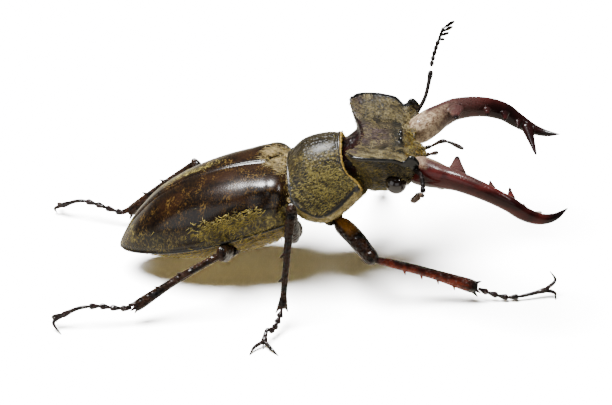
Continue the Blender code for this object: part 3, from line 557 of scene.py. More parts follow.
def case_row(x, shares, side):
    half, top, square = (value_at(stops, x) for stops in (CASE_HALF_WIDTH, CASE_RIDGE, CASE_SQUARENESS))
    seam, row = value_at(CASE_SEAM, x), []
    for share in shares:
        across, up = math.sin(share * math.pi / 2), math.cos(share * math.pi / 2)
        reach = (across ** square + up ** square) ** (-1 / square)
        y = seam + half * across * reach * (half - seam) / half
        row.append(Vector((-x, y, CASE_EDGE_Z + (top - CASE_EDGE_Z) * up * reach)))
    runs = [0.0]
    for a, b in zip(row, row[1:]):
        runs.append(runs[-1] + (b - a).length)
    raised, shoulder = [], bell(x - 3.6, 3.0)
    for point, run in zip(row, runs):
        part = run / runs[-1]
        lift = bead(runs[-1] - run, 0.42, 0.16) if x < CASE_LENGTH - 0.4 else 0.0
        if x > 2.9:
            lift += bead(run, 0.34, 0.07, 0.05)
        lift += shoulder * (0.28 * bell(part - 0.76, 0.09) - 0.1 * bell(part - 0.62, 0.08))
        point = point + (point - Vector((-x, 0, CASE_EDGE_Z))).normalized() * lift
        raised.append(HIND @ Vector((point.x, side * point.y, point.z)))
    return raised


def wing_case(side):
    turns = [math.cos(math.pi * s) for s in evenly(90)]
    shares = [0.5 - 0.5 * c * (0.72 + 0.28 * c ** 2) for c in turns]
    stations = [CASE_LENGTH * (1 - math.cos(math.pi * s)) / 2 for s in evenly(120)]
    made = sheet("wing_case", [case_row(x, shares, side) for x in stations], wrapped=False)
    return made if side > 0 else shaped(made, bpy.ops.mesh.flip_normals)


cases = {name: wing_case(side) for name, side in SIDES}
print("wing cases", len(cases["left"].data.vertices), "points each")

# %% [markdown]
# The pronotum is the arched plate behind the head. It turns over a sharp keel at each side and goes on as the
# pale underside. Its front and hind edges carry a bead, as the wing cases do, and its plan sweeps: the corners
# reach forward beside the head.

# %% Prothorax
SHIELD_LENGTH, THROAT_REACH = 8.9, 1.4
SHIELD_TOP = [(0, -0.35), (0.8, 0.25), (3.2, 1.45), (6.3, 1.5), (8.9, 0.95)]
SHIELD_EDGE = [(0, -3.2), (1.2, -4.9), (3.2, -6.7), (6.3, -6.15), (8.9, -4.9)]
SHIELD_HALF_WIDTH = [(0, 7.15), (1.2, 7.75), (3.2, 8.05), (6.3, 7.5), (8.9, 6.6)]
SHIELD_UNDER = [(0, -9.0), (3.2, -9.7), (6.3, -9.2), (8.9, -7.9)]
CORNER_REACH = [(0, -0.25), (3.2, 0.1), (6.3, 0.4), (8.9, 0.0)]
FRONT_MARGIN = [(0, 0), (0.3, -0.15), (0.62, -0.5), (0.8, -0.25), (0.93, 0.8), (1, 1.15)]


def margin(x, s):
    """How far forward the shield's plan reaches at x, s of the way from its middle to its side."""
    front = max(0.0, min(1.0, (x - 4.4) / (SHIELD_LENGTH - 4.4))) ** 2
    return value_at(CORNER_REACH, x) * s ** 2.2 + front * value_at(FRONT_MARGIN, min(s, 1.0))


def shield_row(x, grow=1.0, shift=0.0, flatten=False, lift=0.0):
    top, edge, half, under = (value_at(stops, x) for stops in (
        SHIELD_TOP, SHIELD_EDGE, SHIELD_HALF_WIDTH, SHIELD_UNDER))
    bulge = 2.25 + 0.35 * math.sin(math.pi * x / SHIELD_LENGTH)
    throat = THROAT_REACH * max(0.0, (x - 6.0) / 2.9) ** 1.5
    half_row = []
    for s in [math.sin(math.pi / 2 * u) for u in evenly(44)]:
        keel = 0.14 * bell(1 - s, 0.03) - 0.06 * bell(0.93 - s, 0.025)
        dent = -0.12 * bell(half * s, 0.3) if 1.0 < x < 8.0 else 0.0
        reach = 0.0 if flatten else margin(x, s)
        half_row.append(Vector((x + reach, half * s + keel, top + lift + dent + (edge - top) * s ** bulge)))
    for a in [math.radians(degrees) for degrees in evenly(20, 8, 90)]:
        y = (half - 0.45) * math.cos(a) ** 0.8
        z = edge - 0.22 + (under - edge + 0.22) * math.sin(a) ** 0.95
        reach = 0.0 if flatten else margin(x, y / half) + throat * math.sin(a)
        half_row.append(Vector((x + reach, y, z)))
    row = half_row + [Vector((p.x, -p.y, p.z)) for p in reversed(half_row[1:-1])]
    middle = (top + under) / 2
    return [CHEST @ Vector((p.x + shift, p.y * grow, middle + (p.z - middle) * grow)) for p in row]


rows = [shield_row(0, 0.55, 0.6), shield_row(0, 0.9, 0.35), shield_row(0, 0.975, 0.1)]
for x in [0.02, 0.1, 0.2, 0.3, 0.4, 0.5] + evenly(50, 0.62, 8.3) + [8.42, 8.52, 8.62, 8.72, 8.82]:
    rows.append(shield_row(x, lift=bead(min(x, SHIELD_LENGTH - x), 0.4, 0.12, 0.06)))
for back, grow, flatten in ((0, 0.99, False), (0, 0.965, False), (1.0, 0.93, False), (1.9, 0.87, True),
                            (2.0, 0.4, True)):
    rows.append(shield_row(SHIELD_LENGTH - back, grow, flatten=flatten))
prothorax = sheet("prothorax", rows)
print("prothorax", len(rows), "rings")

# %% [markdown]
# The head is the showpiece: a saddle between two raised ears, a sharp ridge on each side that ends in a knob
# beside the jaw, and cheeks that swell round the eyes. Its skin runs through measured rings from the neck to
# the mouth, each from the crown's middle, over the ear's ridge (its fourth point), down to the throat. Sculpting
# would be freer, but rings that share their points with the solid keep the skin on it.

# %% The head's rings
HEAD_RINGS = [
    [(4.85, 0, 22.2), (4.95, 2.0, 21.7), (5.15, 3.0, 21.05), (5.35, 3.8, 20.45), (5.5, 4.1, 19.8),
     (5.7, 4.2, 19.1), (5.9, 3.8, 18.2), (6.05, 2.5, 17.7), (6.15, 0, 17.4)],
    [(6.05, 0, 22.9), (6.25, 2.4, 22.4), (6.5, 3.3, 21.8), (6.65, 3.95, 21.15), (6.85, 4.2, 20.4),
     (7.0, 4.3, 19.5), (7.1, 4.0, 18.2), (7.15, 2.9, 17.3), (7.2, 0, 17.0)],
    [(7.6, 0, 23.3), (7.3, 3.6, 22.9), (7.3, 4.8, 22.1), (7.6, 5.0, 21.4), (7.75, 5.05, 20.8),
     (7.85, 4.9, 19.8), (7.85, 4.5, 18.4), (7.7, 3.0, 17.0), (7.75, 0, 16.7)],
    [(8.05, 0, 23.8), (7.4, 3.9, 23.8), (6.5, 6.4, 24.4), (6.0, 8.5, 24.95), (6.45, 8.5, 24.2),
     (8.0, 6.2, 20.8), (8.3, 5.0, 18.4), (8.2, 3.2, 16.8), (8.2, 0, 16.5)],
    [(8.8, 0, 23.8), (8.5, 4.3, 23.85), (7.9, 7.4, 24.45), (7.3, 10.0, 25.1), (7.6, 9.85, 24.4),
     (8.8, 7.3, 21.1), (9.2, 5.9, 18.5), (9.0, 3.7, 16.7), (8.9, 0, 16.3)],
    [(10.0, 0, 23.7), (10.0, 4.5, 23.75), (10.0, 7.6, 24.3), (9.8, 10.35, 25.05), (9.9, 10.2, 24.35),
     (10.0, 8.2, 21.3), (10.0, 6.8, 18.7), (10.0, 4.0, 16.7), (10.0, 0, 16.2)],
    [(11.6, 0, 23.6), (11.6, 4.4, 23.6), (11.6, 7.5, 24.1), (11.5, 10.15, 24.9), (11.5, 10.0, 24.2),
     (11.6, 8.5, 21.3), (11.6, 7.0, 18.8), (11.6, 4.1, 16.9), (11.6, 0, 16.4)],
    [(12.8, 0, 23.55), (12.8, 4.3, 23.45), (12.8, 7.3, 23.75), (12.8, 9.85, 24.7), (12.8, 9.75, 24.1),
     (12.8, 8.6, 21.3), (12.8, 7.1, 19.0), (12.8, 4.1, 17.1), (12.8, 0, 16.7)],
    [(13.75, 0, 23.5), (13.8, 4.2, 23.3), (13.9, 7.0, 23.2), (14.0, 9.15, 24.0), (14.1, 9.15, 23.4),
     (13.9, 8.6, 21.3), (13.9, 7.2, 19.3), (13.9, 4.1, 17.5), (13.8, 0, 17.2)],
    [(14.6, 0, 22.85), (14.6, 4.2, 22.7), (14.5, 7.0, 22.95), (14.7, 9.05, 24.2), (14.8, 9.4, 23.7),
     (14.9, 8.8, 21.5), (14.9, 7.3, 19.7), (14.9, 4.1, 18.0), (14.8, 0, 17.7)],
    [(15.3, 0, 22.2), (15.1, 3.8, 22.2), (14.8, 6.9, 22.7), (15.2, 9.1, 24.7), (15.5, 9.6, 23.8),
     (15.5, 8.8, 22.0), (15.3, 7.4, 20.3), (15.3, 4.1, 18.6), (15.3, 0, 18.3)],
    [(15.8, 0, 21.7), (15.4, 3.4, 21.6), (15.0, 6.4, 22.2), (16.3, 9.0, 23.6), (16.4, 9.1, 23.1),
     (16.0, 8.5, 22.0), (15.2, 7.2, 20.5), (15.5, 3.8, 19.1), (15.7, 0, 18.8)],
]
RIDGE = [row[3] for row in HEAD_RINGS[3:]]


def head_row(where):
    edge = Line([[value_at([(i, p[axis]) for i, p in enumerate(column)], where) for axis in range(3)]
                 for column in zip(*HEAD_RINGS)])
    between = [a + (b - a) * k / 6 for a, b in zip(edge.stops, edge.stops[1:]) for k in range(1, 6)]
    half = [edge.at(t) for t in sorted(edge.stops + between)]
    return half + [Vector((p.x, -p.y, p.z)) for p in reversed(half[1:-1])]


head_shell = sheet("head", [head_row(w) for w in evenly(90, 0, len(HEAD_RINGS) - 1)])
print("head", len(head_shell.data.vertices), "points")

# %% [markdown]
# The mouth shield, the brow's two bumps, the ridges and the bars before the eyes are one shell with the head.
# So they are made as tubes and balls that overlap it, and are melted in. Balls also cut out the eye sockets.

# %% Head
HEAD_VOXEL = 0.13


def ball(centre, size, segments=24, rings=12):
    alone()
    bpy.ops.mesh.primitive_uv_sphere_add(segments=segments, ring_count=rings, radius=MM,
                                         location=(Vector(centre) + HOME) * MM, scale=size)
    bpy.ops.object.transform_apply(location=True, rotation=True, scale=True)
    bpy.ops.object.shade_smooth()
    return bpy.context.object


mouth = Line([(14.9, 0, 20.8), (16.3, 0, 21.0), (17.3, 0, 20.5)])
parts = [head_shell, tube("clypeus", mouth, [(0, 2.9), (0.6, 2.3), (1, 1.2)], 24, 0.4)]
for name, side in SIDES:
    parts.append(ball((13.7, side * 1.05, 23.5), (0.34, 0.75, 0.55)))
    rim = Line([(x, side * y, z) for x, y, z in RIDGE])
    parts.append(tube("rim", rim, [(0, 0.12), (0.3, 0.2), (0.75, 0.22), (0.9, 0.5), (1, 0.4)], 12, count=60))
    brow = Line([(12.2, side * 8.5, 21.75), (13.6, side * 8.9, 21.75), (15.2, side * 8.9, 20.9)])
    parts.append(tube("canthus", brow, [(0, 0.15), (0.5, 0.3), (1, 0.35)], 12, 0.8))
head = remeshed(joined("head", parts), HEAD_VOXEL)
for name, side in SIDES:
    cutter = ball((EYE_X, side * 8.3, EYE_Z), (1.56, 1.56, 1.56), 32, 16)
    changed(head, "BOOLEAN", operation="DIFFERENCE", object=cutter, solver="EXACT")
    bpy.data.objects.remove(cutter)
melted(head, HEAD_VOXEL, 3)
print("head", len(head.data.polygons), "faces")

# %% [markdown]
# A thin polished bead runs along each ear's ridge and catches the light as a line. It stays a piece of its own,
# because melting would blunt it. The eyes are smooth balls that fill their sockets.

# %% Ear beads and eyes
ear_beads, eyes = {}, {}
for name, side in SIDES:
    rim = Line([(x, side * (y + 0.06), z + 0.02) for x, y, z in RIDGE[:-2]])
    ear_beads[name] = tube("bead", rim, [(0, 0.1), (0.2, 0.2), (0.8, 0.22), (1, 0.12)], 14, count=90)
for name, side in SIDES:
    eyes[name] = ball((EYE_X, side * EYE_Y, EYE_Z), (1.5, 1.5, 1.46), 64, 32)
print("ear beads and eyes", len(ear_beads), len(eyes))

# %% [markdown]
# Each jaw is a bent blade with a rounded outer face and a granular upper one. The big tooth near its base, the
# three small ones and the fork before its tip are drawn out as thorns and melted into it. A section that turns
# along a line makes the blade, so that both jaws come from one list of points.

# %% Jaws
JAW_LINE = [(15.3, 5.0, 21.0), (16.6, 6.4, 21.35), (18.2, 8.1, 21.8), (19.6, 9.5, 22.1), (21.9, 11.3, 22.4),
            (25.8, 13.4, 21.8), (29.0, 14.4, 20.6), (31.4, 14.4, 19.0), (33.6, 13.8, 18.0), (35.6, 12.8, 17.85),
            (37.5, 11.3, 18.5)]
JAW_DEPTH = [(0, 0.9), (0.025, 1.6), (0.06, 2.0), (0.15, 2.05), (0.23, 1.8), (0.33, 1.65), (0.49, 1.5),
             (0.62, 1.4), (0.73, 1.15), (0.83, 0.8), (0.92, 0.45), (1, 0.07)]
JAW_THICKNESS = [(0, 0.9), (0.025, 1.7), (0.06, 2.1), (0.15, 2.0), (0.23, 1.7), (0.33, 1.4), (0.49, 1.15),
                 (0.62, 1.0), (0.73, 0.95), (0.83, 0.8), (0.92, 0.5), (1, 0.07)]
JAW_TILT = math.radians(58.0)
JAW_TEETH = [
    ((21.6, 10.2, 23.0), (21.8, 5.9, 23.5), 1.55, 0.5),
    ((26.6, 12.4, 21.9), (26.4, 9.9, 21.9), 0.62, 0.8),
    ((29.3, 13.3, 20.8), (29.2, 10.2, 21.0), 0.7, 0.8),
    ((31.3, 13.6, 19.3), (31.2, 11.4, 19.1), 0.5, 0.8),
    ((32.6, 13.9, 18.5), (33.9, 8.7, 16.3), 1.0, 0.75),
]


def jaw_row(line, t, side):
    way = line.way(t)
    outward = way.cross(Vector((0, 0, 1))).normalized() * -side
    lift = (outward.cross(way) * side).normalized()
    long_axis = lift * math.sin(JAW_TILT) - outward * math.cos(JAW_TILT)
    short_axis = lift * math.cos(JAW_TILT) + outward * math.sin(JAW_TILT)
    deep, thick = value_at(JAW_DEPTH, t), value_at(JAW_THICKNESS, t)
    row = []
    for a in [2 * math.pi * i / 36 for i in range(36)]:
        keel = 1 + 0.1 * bell(math.degrees(a) - 20, 9) * min(1, t * 12) * (1 - t)
        row.append(line.at(t) + (long_axis * math.cos(a) * deep + short_axis * math.sin(a) * thick) * keel)
    return row


def jaw(side):
    line = Line([(x, side * y, z) for x, y, z in JAW_LINE])
    parts = [sheet("jaw", [jaw_row(line, share ** 1.25, side) for share in evenly(110)])]
    for root, tip, radius, flat in JAW_TEETH:
        root, tip = ((p[0], side * p[1], p[2]) for p in (root, tip))
        parts.append(thorn(root, tip, radius, flat, sides=16, blunt=0.16, count=14))
    return melted(joined("jaw", parts), 0.1, 3)


jaws = {name: jaw(side) for name, side in SIDES}
print("jaws", len(jaws["left"].data.polygons), "faces each")

# %% [markdown]
# The legs are jointed rods, and each leg is laid on the same points as its solids. The near front leg is
# stretched forward, and the hind legs trail. A thigh is swollen, and is made as a tube that is thick midway.

# %% Where the legs stand, and thighs
LEGS = {
    "front_right": {
        "hip": (3.9, -3.5, 12.2), "thigh": (7.2, -6.9, 10.6), "knee": (10.0, -9.9, 8.6),
        "shin_end": (25.2, -7.2, 2.6),
        "foot": [(26.5, -6.9, 1.8), (28.2, -6.7, 1.1), (30.0, -6.6, 0.7), (32.2, -6.2, 0.8),
                 (35.7, -5.2, 1.35)],
        "claws": [((36.8, -4.6, 2.6), (36.0, -4.2, 3.9)), ((36.8, -5.4, 0.9), (36.9, -5.9, -0.1))],
    },
    "middle_right": {
        "hip": (-1.9, -4.2, 9.9), "thigh": (-1.4, -9.1, 12.1), "knee": (-1.6, -11.7, 17.6),
        "shin_end": (-2.7, -15.5, 3.4),
        "foot": [(-3.1, -16.4, 2.5), (-3.5, -17.4, 1.8), (-4.0, -18.4, 1.5), (-4.7, -19.2, 2.0),
                 (-5.1, -20.7, 0.8)],
        "claws": [((-6.4, -21.7, 0.6), (-7.0, -22.9, -0.1)), ((-4.1, -21.7, 0.6), (-2.9, -22.9, -0.1))],
    },
    "hind_right": {
        "hip": (-10.7, -4.8, 7.6), "thigh": (-11.2, -8.6, 8.4), "knee": (-11.6, -12.2, 10.2),
        "shin_end": (-24.0, -15.4, 2.9),
        "foot": [(-25.2, -15.7, 2.9), (-27.0, -16.1, 3.2), (-29.0, -16.4, 3.6), (-31.8, -16.7, 3.4),
                 (-34.4, -17.0, 2.2)],
        "claws": [((-35.5, -17.4, 1.3), (-34.3, -18.6, -0.1)), ((-35.7, -16.4, 1.6), (-35.2, -16.0, 0.5))],
    },
    "front_left": {
        "hip": (3.9, 3.5, 12.2), "thigh": (6.0, 7.6, 11.6), "knee": (7.8, 11.6, 11.8),
        "shin_end": (10.4, 24.3, 2.9),
        "foot": [(10.8, 25.5, 2.2), (11.4, 27.2, 1.4), (12.0, 28.8, 1.1), (12.6, 30.2, 1.3), (13.2, 32.2, 0.9)],
        "claws": [((14.0, 33.1, 0.6), (14.4, 33.9, -0.1)), ((13.0, 33.4, 0.6), (12.7, 34.1, -0.1))],
    },
    "middle_left": {
        "hip": (-1.9, 4.2, 9.9), "thigh": (-2.1, 9.0, 10.9), "knee": (-2.4, 13.4, 13.4),
        "shin_end": (-4.6, 24.4, 3.0),
        "foot": [(-5.0, 25.6, 2.3), (-5.6, 27.2, 1.6), (-6.2, 28.6, 1.3), (-6.8, 29.8, 1.5), (-7.6, 31.4, 0.9)],
        "claws": [((-8.7, 32.1, 0.6), (-9.4, 32.8, -0.1)), ((-7.6, 32.6, 0.6), (-7.6, 33.4, -0.1))],
    },
    "hind_left": {
        "hip": (-10.7, 4.8, 7.6), "thigh": (-14.2, 9.8, 7.8), "knee": (-17.6, 14.3, 10.8),
        "shin_end": (-27.9, 12.9, 2.6),
        "foot": [(-29.1, 13.1, 2.5), (-30.8, 13.5, 2.8), (-32.6, 14.0, 3.2), (-35.6, 14.9, 3.4),
                 (-38.8, 15.9, 1.9)],
        "claws": [((-39.9, 16.4, 1.1), (-39.7, 16.9, -0.1)), ((-39.5, 17.3, 1.4), (-38.9, 17.9, 0.5))],
    },
}
THIGH_SHAPE = {"front": (1.45, 0.92), "middle": (1.3, 0.72), "hind": (1.25, 0.72)}


def thigh(kind, leg):
    hip, knee, middle = Vector(leg["hip"]), Vector(leg["knee"]), Vector(leg["thigh"])
    out = Vector((0, 1 if knee.y > 0 else -1, 0))
    start = hip + ((knee - hip).normalized() * 0.75 + out * 0.4) * 0.6
    line = Line([start, middle, knee + (knee - middle).normalized() * 0.65])
    r, flat = THIGH_SHAPE[kind]
    radii = [(0, 0.45), (0.07, 0.75), (0.2, r * 0.93), (0.5, r), (0.8, r * 0.86), (0.93, r * 0.8),
             (1, r * 0.45)]
    return tube("thigh", line, radii, 24, flat, (1, 0, 0.2), 36)


thighs = {name: thigh(name.split("_")[0], leg) for name, leg in LEGS.items()}
print("thighs", len(thighs))

# %% [markdown]
# A shin has low ridges down its length, a row of teeth on its outer edge and four spurs round its end. They
# are thorns that stand in the shin. The joint doesn't show at this size, so nothing is melted.

# %% Shins
SHIN_RADIUS = {"front": 0.8, "middle": 0.62, "hind": 0.65}
SHIN_SPINES = {"front": (0.3, 0.46, 0.62, 0.78), "middle": (0.45, 0.7), "hind": (0.42, 0.68)}
SPINE_EDGE = {"front": ((0, 0, -1), 0.5), "middle": ((-1, 0, 0), 0.4), "hind": ((-0.6, 0, 0.8), 0.3)}
FLOOR_GAP = 0.08


def shin(kind, leg):
    r, knee, end = SHIN_RADIUS[kind], Vector(leg["knee"]), Vector(leg["shin_end"])
    line = Line([knee, (knee + end) / 2 + Vector((0, 0, 0.3)), end])
    radii = [(0, 0.42), (0.05, 0.55), (0.2, r * 0.82), (0.6, r), (0.93, r * 1.35), (1, r * 1.2)]
    if kind == "middle":
        radii = [(0, 0.5), (0.05, 0.78), (0.14, 0.85), (0.45, 0.6), (0.85, 0.55), (0.95, 0.78), (1, 0.65)]

    def ridges(angle, t):
        return 0.05 * math.cos(6 * angle) * min(1.0, t * 5)

    face = (1, 0, 0) if kind == "middle" else (0, 0, 1)
    parts = [tube("shin", line, radii, 36, 0.85, face, 40, 0.02, 1.0, ridges)]
    way, (edge, out) = line.way(0.9), SPINE_EDGE[kind]
    edge = Vector(edge) + Vector((0, -1 if knee.y < 0 else 1, 0)) * out
    edge = (edge - way * edge.dot(way)).normalized()
    for t in SHIN_SPINES[kind]:
        here = value_at(radii, t)
        root, tip = line.at(t) + edge * here * 0.3, line.at(t) + edge * (here * 0.85 + 0.55) + way * 0.5
        parts.append(thorn(root, tip, 0.38, blunt=0.12))
    last, across = line.at(0.96), way.cross(edge)
    for lean, reach in ((edge, 1.0), (edge * -0.9, 0.75), (edge * 0.5 + across * 0.8, 0.8),
                        (edge * 0.5 - across * 0.8, 0.8)):
        tip = last + lean * r * 1.55 + way * (0.7 + reach * 0.6)
        tip.z = max(tip.z, FLOOR_GAP)
        parts.append(thorn(last + lean * r * 0.55, tip, 0.42, blunt=0.12))
    return joined("shin", parts)


shins = {name: shin(name.split("_")[0], leg) for name, leg in LEGS.items()}
print("shins", len(shins))

# %% [markdown]
# A foot is four flared beads, a longer claw joint, two hooked claws and a short bristle between them. Beads
# and claw joint share one line. One tube could carry them all as bulges, but separate ones keep sharp waists.

# %% Feet
def foot(leg):
    start, points = Vector(leg["shin_end"]), [Vector(p) for p in leg["foot"]]
    line = Line([start + (points[0] - start).normalized() * 0.4] + points)
    knot, face, parts = 0.58 / 4, (0.1, 0.05, 1), []
    for k in range(4):
        low, high = knot * k, knot * (k + 1) + 0.006
        radii = [(low, 0.2), (low + knot * 0.3, 0.3), (low + knot * 0.82, 0.49), (high, 0.34)]
        parts.append(tube("bead", line, radii, 16, 0.95, face, 12, low - 0.01 if k else 0, high))
    radii = [(0.575, 0.2), (0.64, 0.27), (0.85, 0.33), (0.96, 0.46), (1, 0.3)]
    parts.append(tube("claw_joint", line, radii, 16, 0.95, face, 20, 0.57, 1.0))
    end = line.at(0.96)
    for middle, tip in leg["claws"]:
        middle, tip = Vector(middle), Vector(tip)
        tip.z = max(tip.z, 0.06)
        root = end + (middle - end).normalized() * 0.1
        plane = (middle - root).cross(tip - middle).normalized()
        radii = [(0, 0.3), (0.5, 0.25), (1, 0.06)]
        parts.append(tube("claw", Line([root, middle, tip]), radii, 12, 1.0, plane, 20))
    parts.append(thorn(line.at(0.93), end + line.way(1.0) * 1.1 + Vector((0, 0, -0.15)), 0.25))
    return joined("foot", parts)


feet = {name: foot(leg) for name, leg in LEGS.items()}
print("feet", len(feet))

# %% [markdown]
# A stag beetle's feeler is elbowed: one long joint, then small beads, then a club of flat leaves on one side.
# The leaves are flattened tubes. The mouth feelers are short rods of three joints, each one tube with waists.

# %% Feelers and mouth feelers
FEELERS = {
    "left": {"scape": [(15.9, 8.3, 23.0), (17.2, 10.4, 24.7), (18.0, 13.0, 27.8)],
             "outer": [(18.0, 13.4, 28.3), (18.4, 14.6, 29.8), (19.0, 15.7, 31.4), (19.7, 16.6, 33.2)],
             "leaf_way": (0.6, -0.2, 0.35), "leaves": (1.0, 1.45, 1.75, 1.7)},
    "right": {"scape": [(15.7, -9.0, 22.9), (16.7, -10.1, 22.5), (17.0, -12.4, 21.1)],
              "outer": [(16.95, -12.1, 20.4), (16.75, -11.2, 20.0), (16.5, -10.4, 19.7), (16.1, -9.6, 19.2)],
              "leaf_way": (-0.35, -0.5, -0.8), "leaves": (0.9, 1.15, 1.3, 1.2)},
}
PALPS = {
    "maxillary_palp_left": [(15.7, 2.4, 20.0), (17.9, 2.2, 20.7), (20.0, 1.8, 21.9), (22.9, 1.2, 21.0)],
    "maxillary_palp_right": [(15.6, -2.7, 19.6), (17.6, -3.2, 18.2), (19.0, -3.6, 17.4), (20.2, -3.9, 17.2)],
    "labial_palp_left": [(15.5, 0.9, 19.6), (17.4, 0.8, 20.1), (19.2, 0.5, 20.7)],
    "labial_palp_right": [(15.5, -1.0, 19.2), (17.0, -1.3, 18.2), (18.4, -1.5, 17.6)],
}
SCAPE_RADII = [(0, 0.36), (0.3, 0.3), (0.8, 0.32), (0.93, 0.42), (1, 0.3)]
PALP_RADII = [(0, 0.28), (0.3, 0.3), (0.34, 0.2), (0.6, 0.34), (0.66, 0.2), (0.9, 0.33), (1, 0.2)]
LEAF_RADII = [(0, 0.16), (0.55, 0.44), (0.85, 0.4), (1, 0.2)]


def feeler_end(feeler):
    line, face, parts = Line(feeler["outer"]), (1, 0.1, 0), []
    for k in range(5):
        low, high = k * 0.132, (k + 1) * 0.132
        radii = [(low, 0.16), (low + 0.08, 0.34), (high + 0.01, 0.22)]
        parts.append(tube("bead", line, radii, 12, 1.0, face, 9, low, high + 0.012))
    parts.append(tube("stem", line, [(0.65, 0.2), (1, 0.24)], 12, 1.0, face, 12, 0.64, 1.0))
    leaf_way = Vector(feeler["leaf_way"]).normalized()
    for k, reach in enumerate(feeler["leaves"]):
        root = line.at(0.68 + 0.1 * k)
        tip = root + leaf_way * reach + line.way(0.9) * (0.25 * k - 0.15)
        parts.append(tube("leaf", Line([root, (root + tip) / 2, tip]), LEAF_RADII, 16, 0.42, line.way(0.8), 16))
    return joined("feeler_end", parts)


scapes = {name: tube("scape", Line(f["scape"]), SCAPE_RADII, 14, 1.0, (1, 0, 0)) for name, f in FEELERS.items()}
feeler_ends = {name: feeler_end(f) for name, f in FEELERS.items()}
palps = {name: tube(name, Line(points), PALP_RADII, 12, 1.0, (0.1, 0, 1), 30, 0.04)
         for name, points in PALPS.items()}
print("feelers", len(scapes), "mouth feelers", len(palps))

# %% [markdown]
# The underside, the hips and the small plate between the wing cases keep the shapes of their solids. Copies of
# them are remeshed finely, so that no flat facet of the solid shows.

# %% Underside, plate and hips
unders = {name: packed_copy(name, 0.16) for name in ("metathorax", "abdomen")}
plate = packed_copy("scutellum", 0.05, 4)
hips = {name: packed_copy(name + "_coxa", 0.09) for name in LEGS}
print("copies", len(unders) + len(hips) + 1)

# %% [markdown]
# Golden hair lies over much of the beetle. Hairs grow thicker in some places than in others, so roots are drawn
# at random from the skin's triangles by their size and by how thick the coat is there. A root keeps its skin's
# normal and its place on the skin's own unwrap.

# %% Scattering roots
def roots_on(obj, count, seed, share):
    """Random places on a skin with their normals and unwrap. share gives each place's chance of hair."""
    mesh = obj.data
    mesh.calc_loop_triangles()
    places = places_of(mesh)
    normals = np.array([tuple(v.vector) for v in mesh.vertex_normals])
    corners, loops = (read(mesh.loop_triangles, what, 3, int) for what in ("vertices", "loops"))
    unwrap = read(mesh.uv_layers[0].data, "uv", 2)
    a, b, c = (places[corners[:, k]] for k in range(3))
    area = np.linalg.norm(np.cross(b - a, c - a), axis=1) / 2
    chance = area * np.clip(share((a + b + c) / 3, normals[corners].mean(axis=1)), 0, 1)
    rng = np.random.default_rng(seed)
    picked = rng.choice(len(corners), size=count, p=chance / chance.sum())
    u, v = rng.random(count), rng.random(count)
    over = u + v > 1
    u[over], v[over] = 1 - u[over], 1 - v[over]
    weights = np.stack([1 - u - v, u, v], axis=1)[:, :, None]
    place = (places[corners[picked]] * weights).sum(axis=1)
    normal = (normals[corners[picked]] * weights).sum(axis=1)
    normal /= np.linalg.norm(normal, axis=1)[:, None]
    return place, normal, (unwrap[loops[picked]] * weights).sum(axis=1), rng


print("roots are scattered on", len(cases) + len(unders) + 3, "skins")

# %% [markdown]
# Each tuft is a thin three-sided blade that leaves the skin, bends over and lies back along the body. One blade
# has seven points and ten faces, and a coat is a single mesh that repeats it at every root. A particle system
# could grow the same hair, but its strands are no solid shapes and wouldn't be exported with the skin.

# %% Growing tufts
HAIR_PATCH = 0.003
BLADE_FACES = np.array([(0, 3, 4), (0, 4, 1), (1, 4, 5), (1, 5, 2), (2, 5, 3), (2, 3, 0), (3, 6, 4), (4, 6, 5),
                        (5, 6, 3), (0, 1, 2)])
BLADE_UNWRAP = np.array([(0, 0), (1, 0), (0.5, 0.3), (0.1, 0.5), (0.9, 0.5), (0.5, 0.6), (0.5, 1)]) * HAIR_PATCH
BACK, DOWN_AND_BACK = (-1.0, 0.0, -0.15), (-1.0, 0.0, -0.7)
FORWARD, DOWN = (1.0, 0.0, 0.15), (0.3, 0.0, -1.0)


def coat(name, obj, count, seed, share, lie, length, width, finish, slot, rise, spread):
    """One mesh of tufts on a skin. lie is the way the hair points, or a rule that gives it for each place."""
    place, normal, unwrap, rng = roots_on(obj, count, seed, share)
    way = (lie(place) if callable(lie) else np.array(lie)) + rng.normal(0, spread, (count, 3))
    way -= normal * (way * normal).sum(axis=1)[:, None]
    way /= np.linalg.norm(way, axis=1)[:, None] + 1e-9
    across = np.cross(normal, way)
    long = (length * rng.uniform(0.65, 1.25, count))[:, None]
    wide = (width * rng.uniform(0.7, 1.3, count))[:, None]
    curl = rng.normal(0, 0.12, (count, 1))
    points = []
    for along, up, thick in ((0.0, -0.05, 0.7), (0.45, rise * 0.55, 1.0)):
        middle = place + way * long * along + normal * long * up + across * curl * long * along
        points += [middle - across * wide * thick / 2, middle + across * wide * thick / 2,
                   middle + normal * wide * thick * 0.45]
    points.append(place + way * long + normal * long * rise * 0.5 + across * curl * long * 1.6)
    each = len(points)
    faces = (BLADE_FACES[None] + each * np.arange(count)[:, None, None]).ravel()
    mesh = bpy.data.meshes.new(name)
    mesh.vertices.add(each * count)
    mesh.vertices.foreach_set("co", placed(np.stack(points, axis=1)))
    mesh.loops.add(len(faces))
    mesh.loops.foreach_set("vertex_index", faces)
    mesh.polygons.add(len(faces) // 3)
    mesh.polygons.foreach_set("loop_start", np.arange(len(faces) // 3) * 3)
    mesh.update(calc_edges=True)
    spots = (unwrap[:, None, :] * (1 - HAIR_PATCH) + BLADE_UNWRAP[None]).reshape(-1, 2)
    mesh.uv_layers.new(name="OFBake").data.foreach_set("uv", spots[faces].ravel())
    tint = 0.75 * rng.random(count) + 0.25 * ramp(cloud(place, 1.5, 9.0), 0.3, 0.7)
    shade = mesh.attributes.new("tint", "FLOAT", "POINT")
    shade.data.foreach_set("value", np.repeat(tint, each).astype(np.float32))
    made = bpy.data.objects.new(name, mesh)
    bpy.context.scene.collection.objects.link(made)
    mesh.shade_smooth()
    dressed(made, name, slot, finish)


print("faces in one tuft", len(BLADE_FACES))

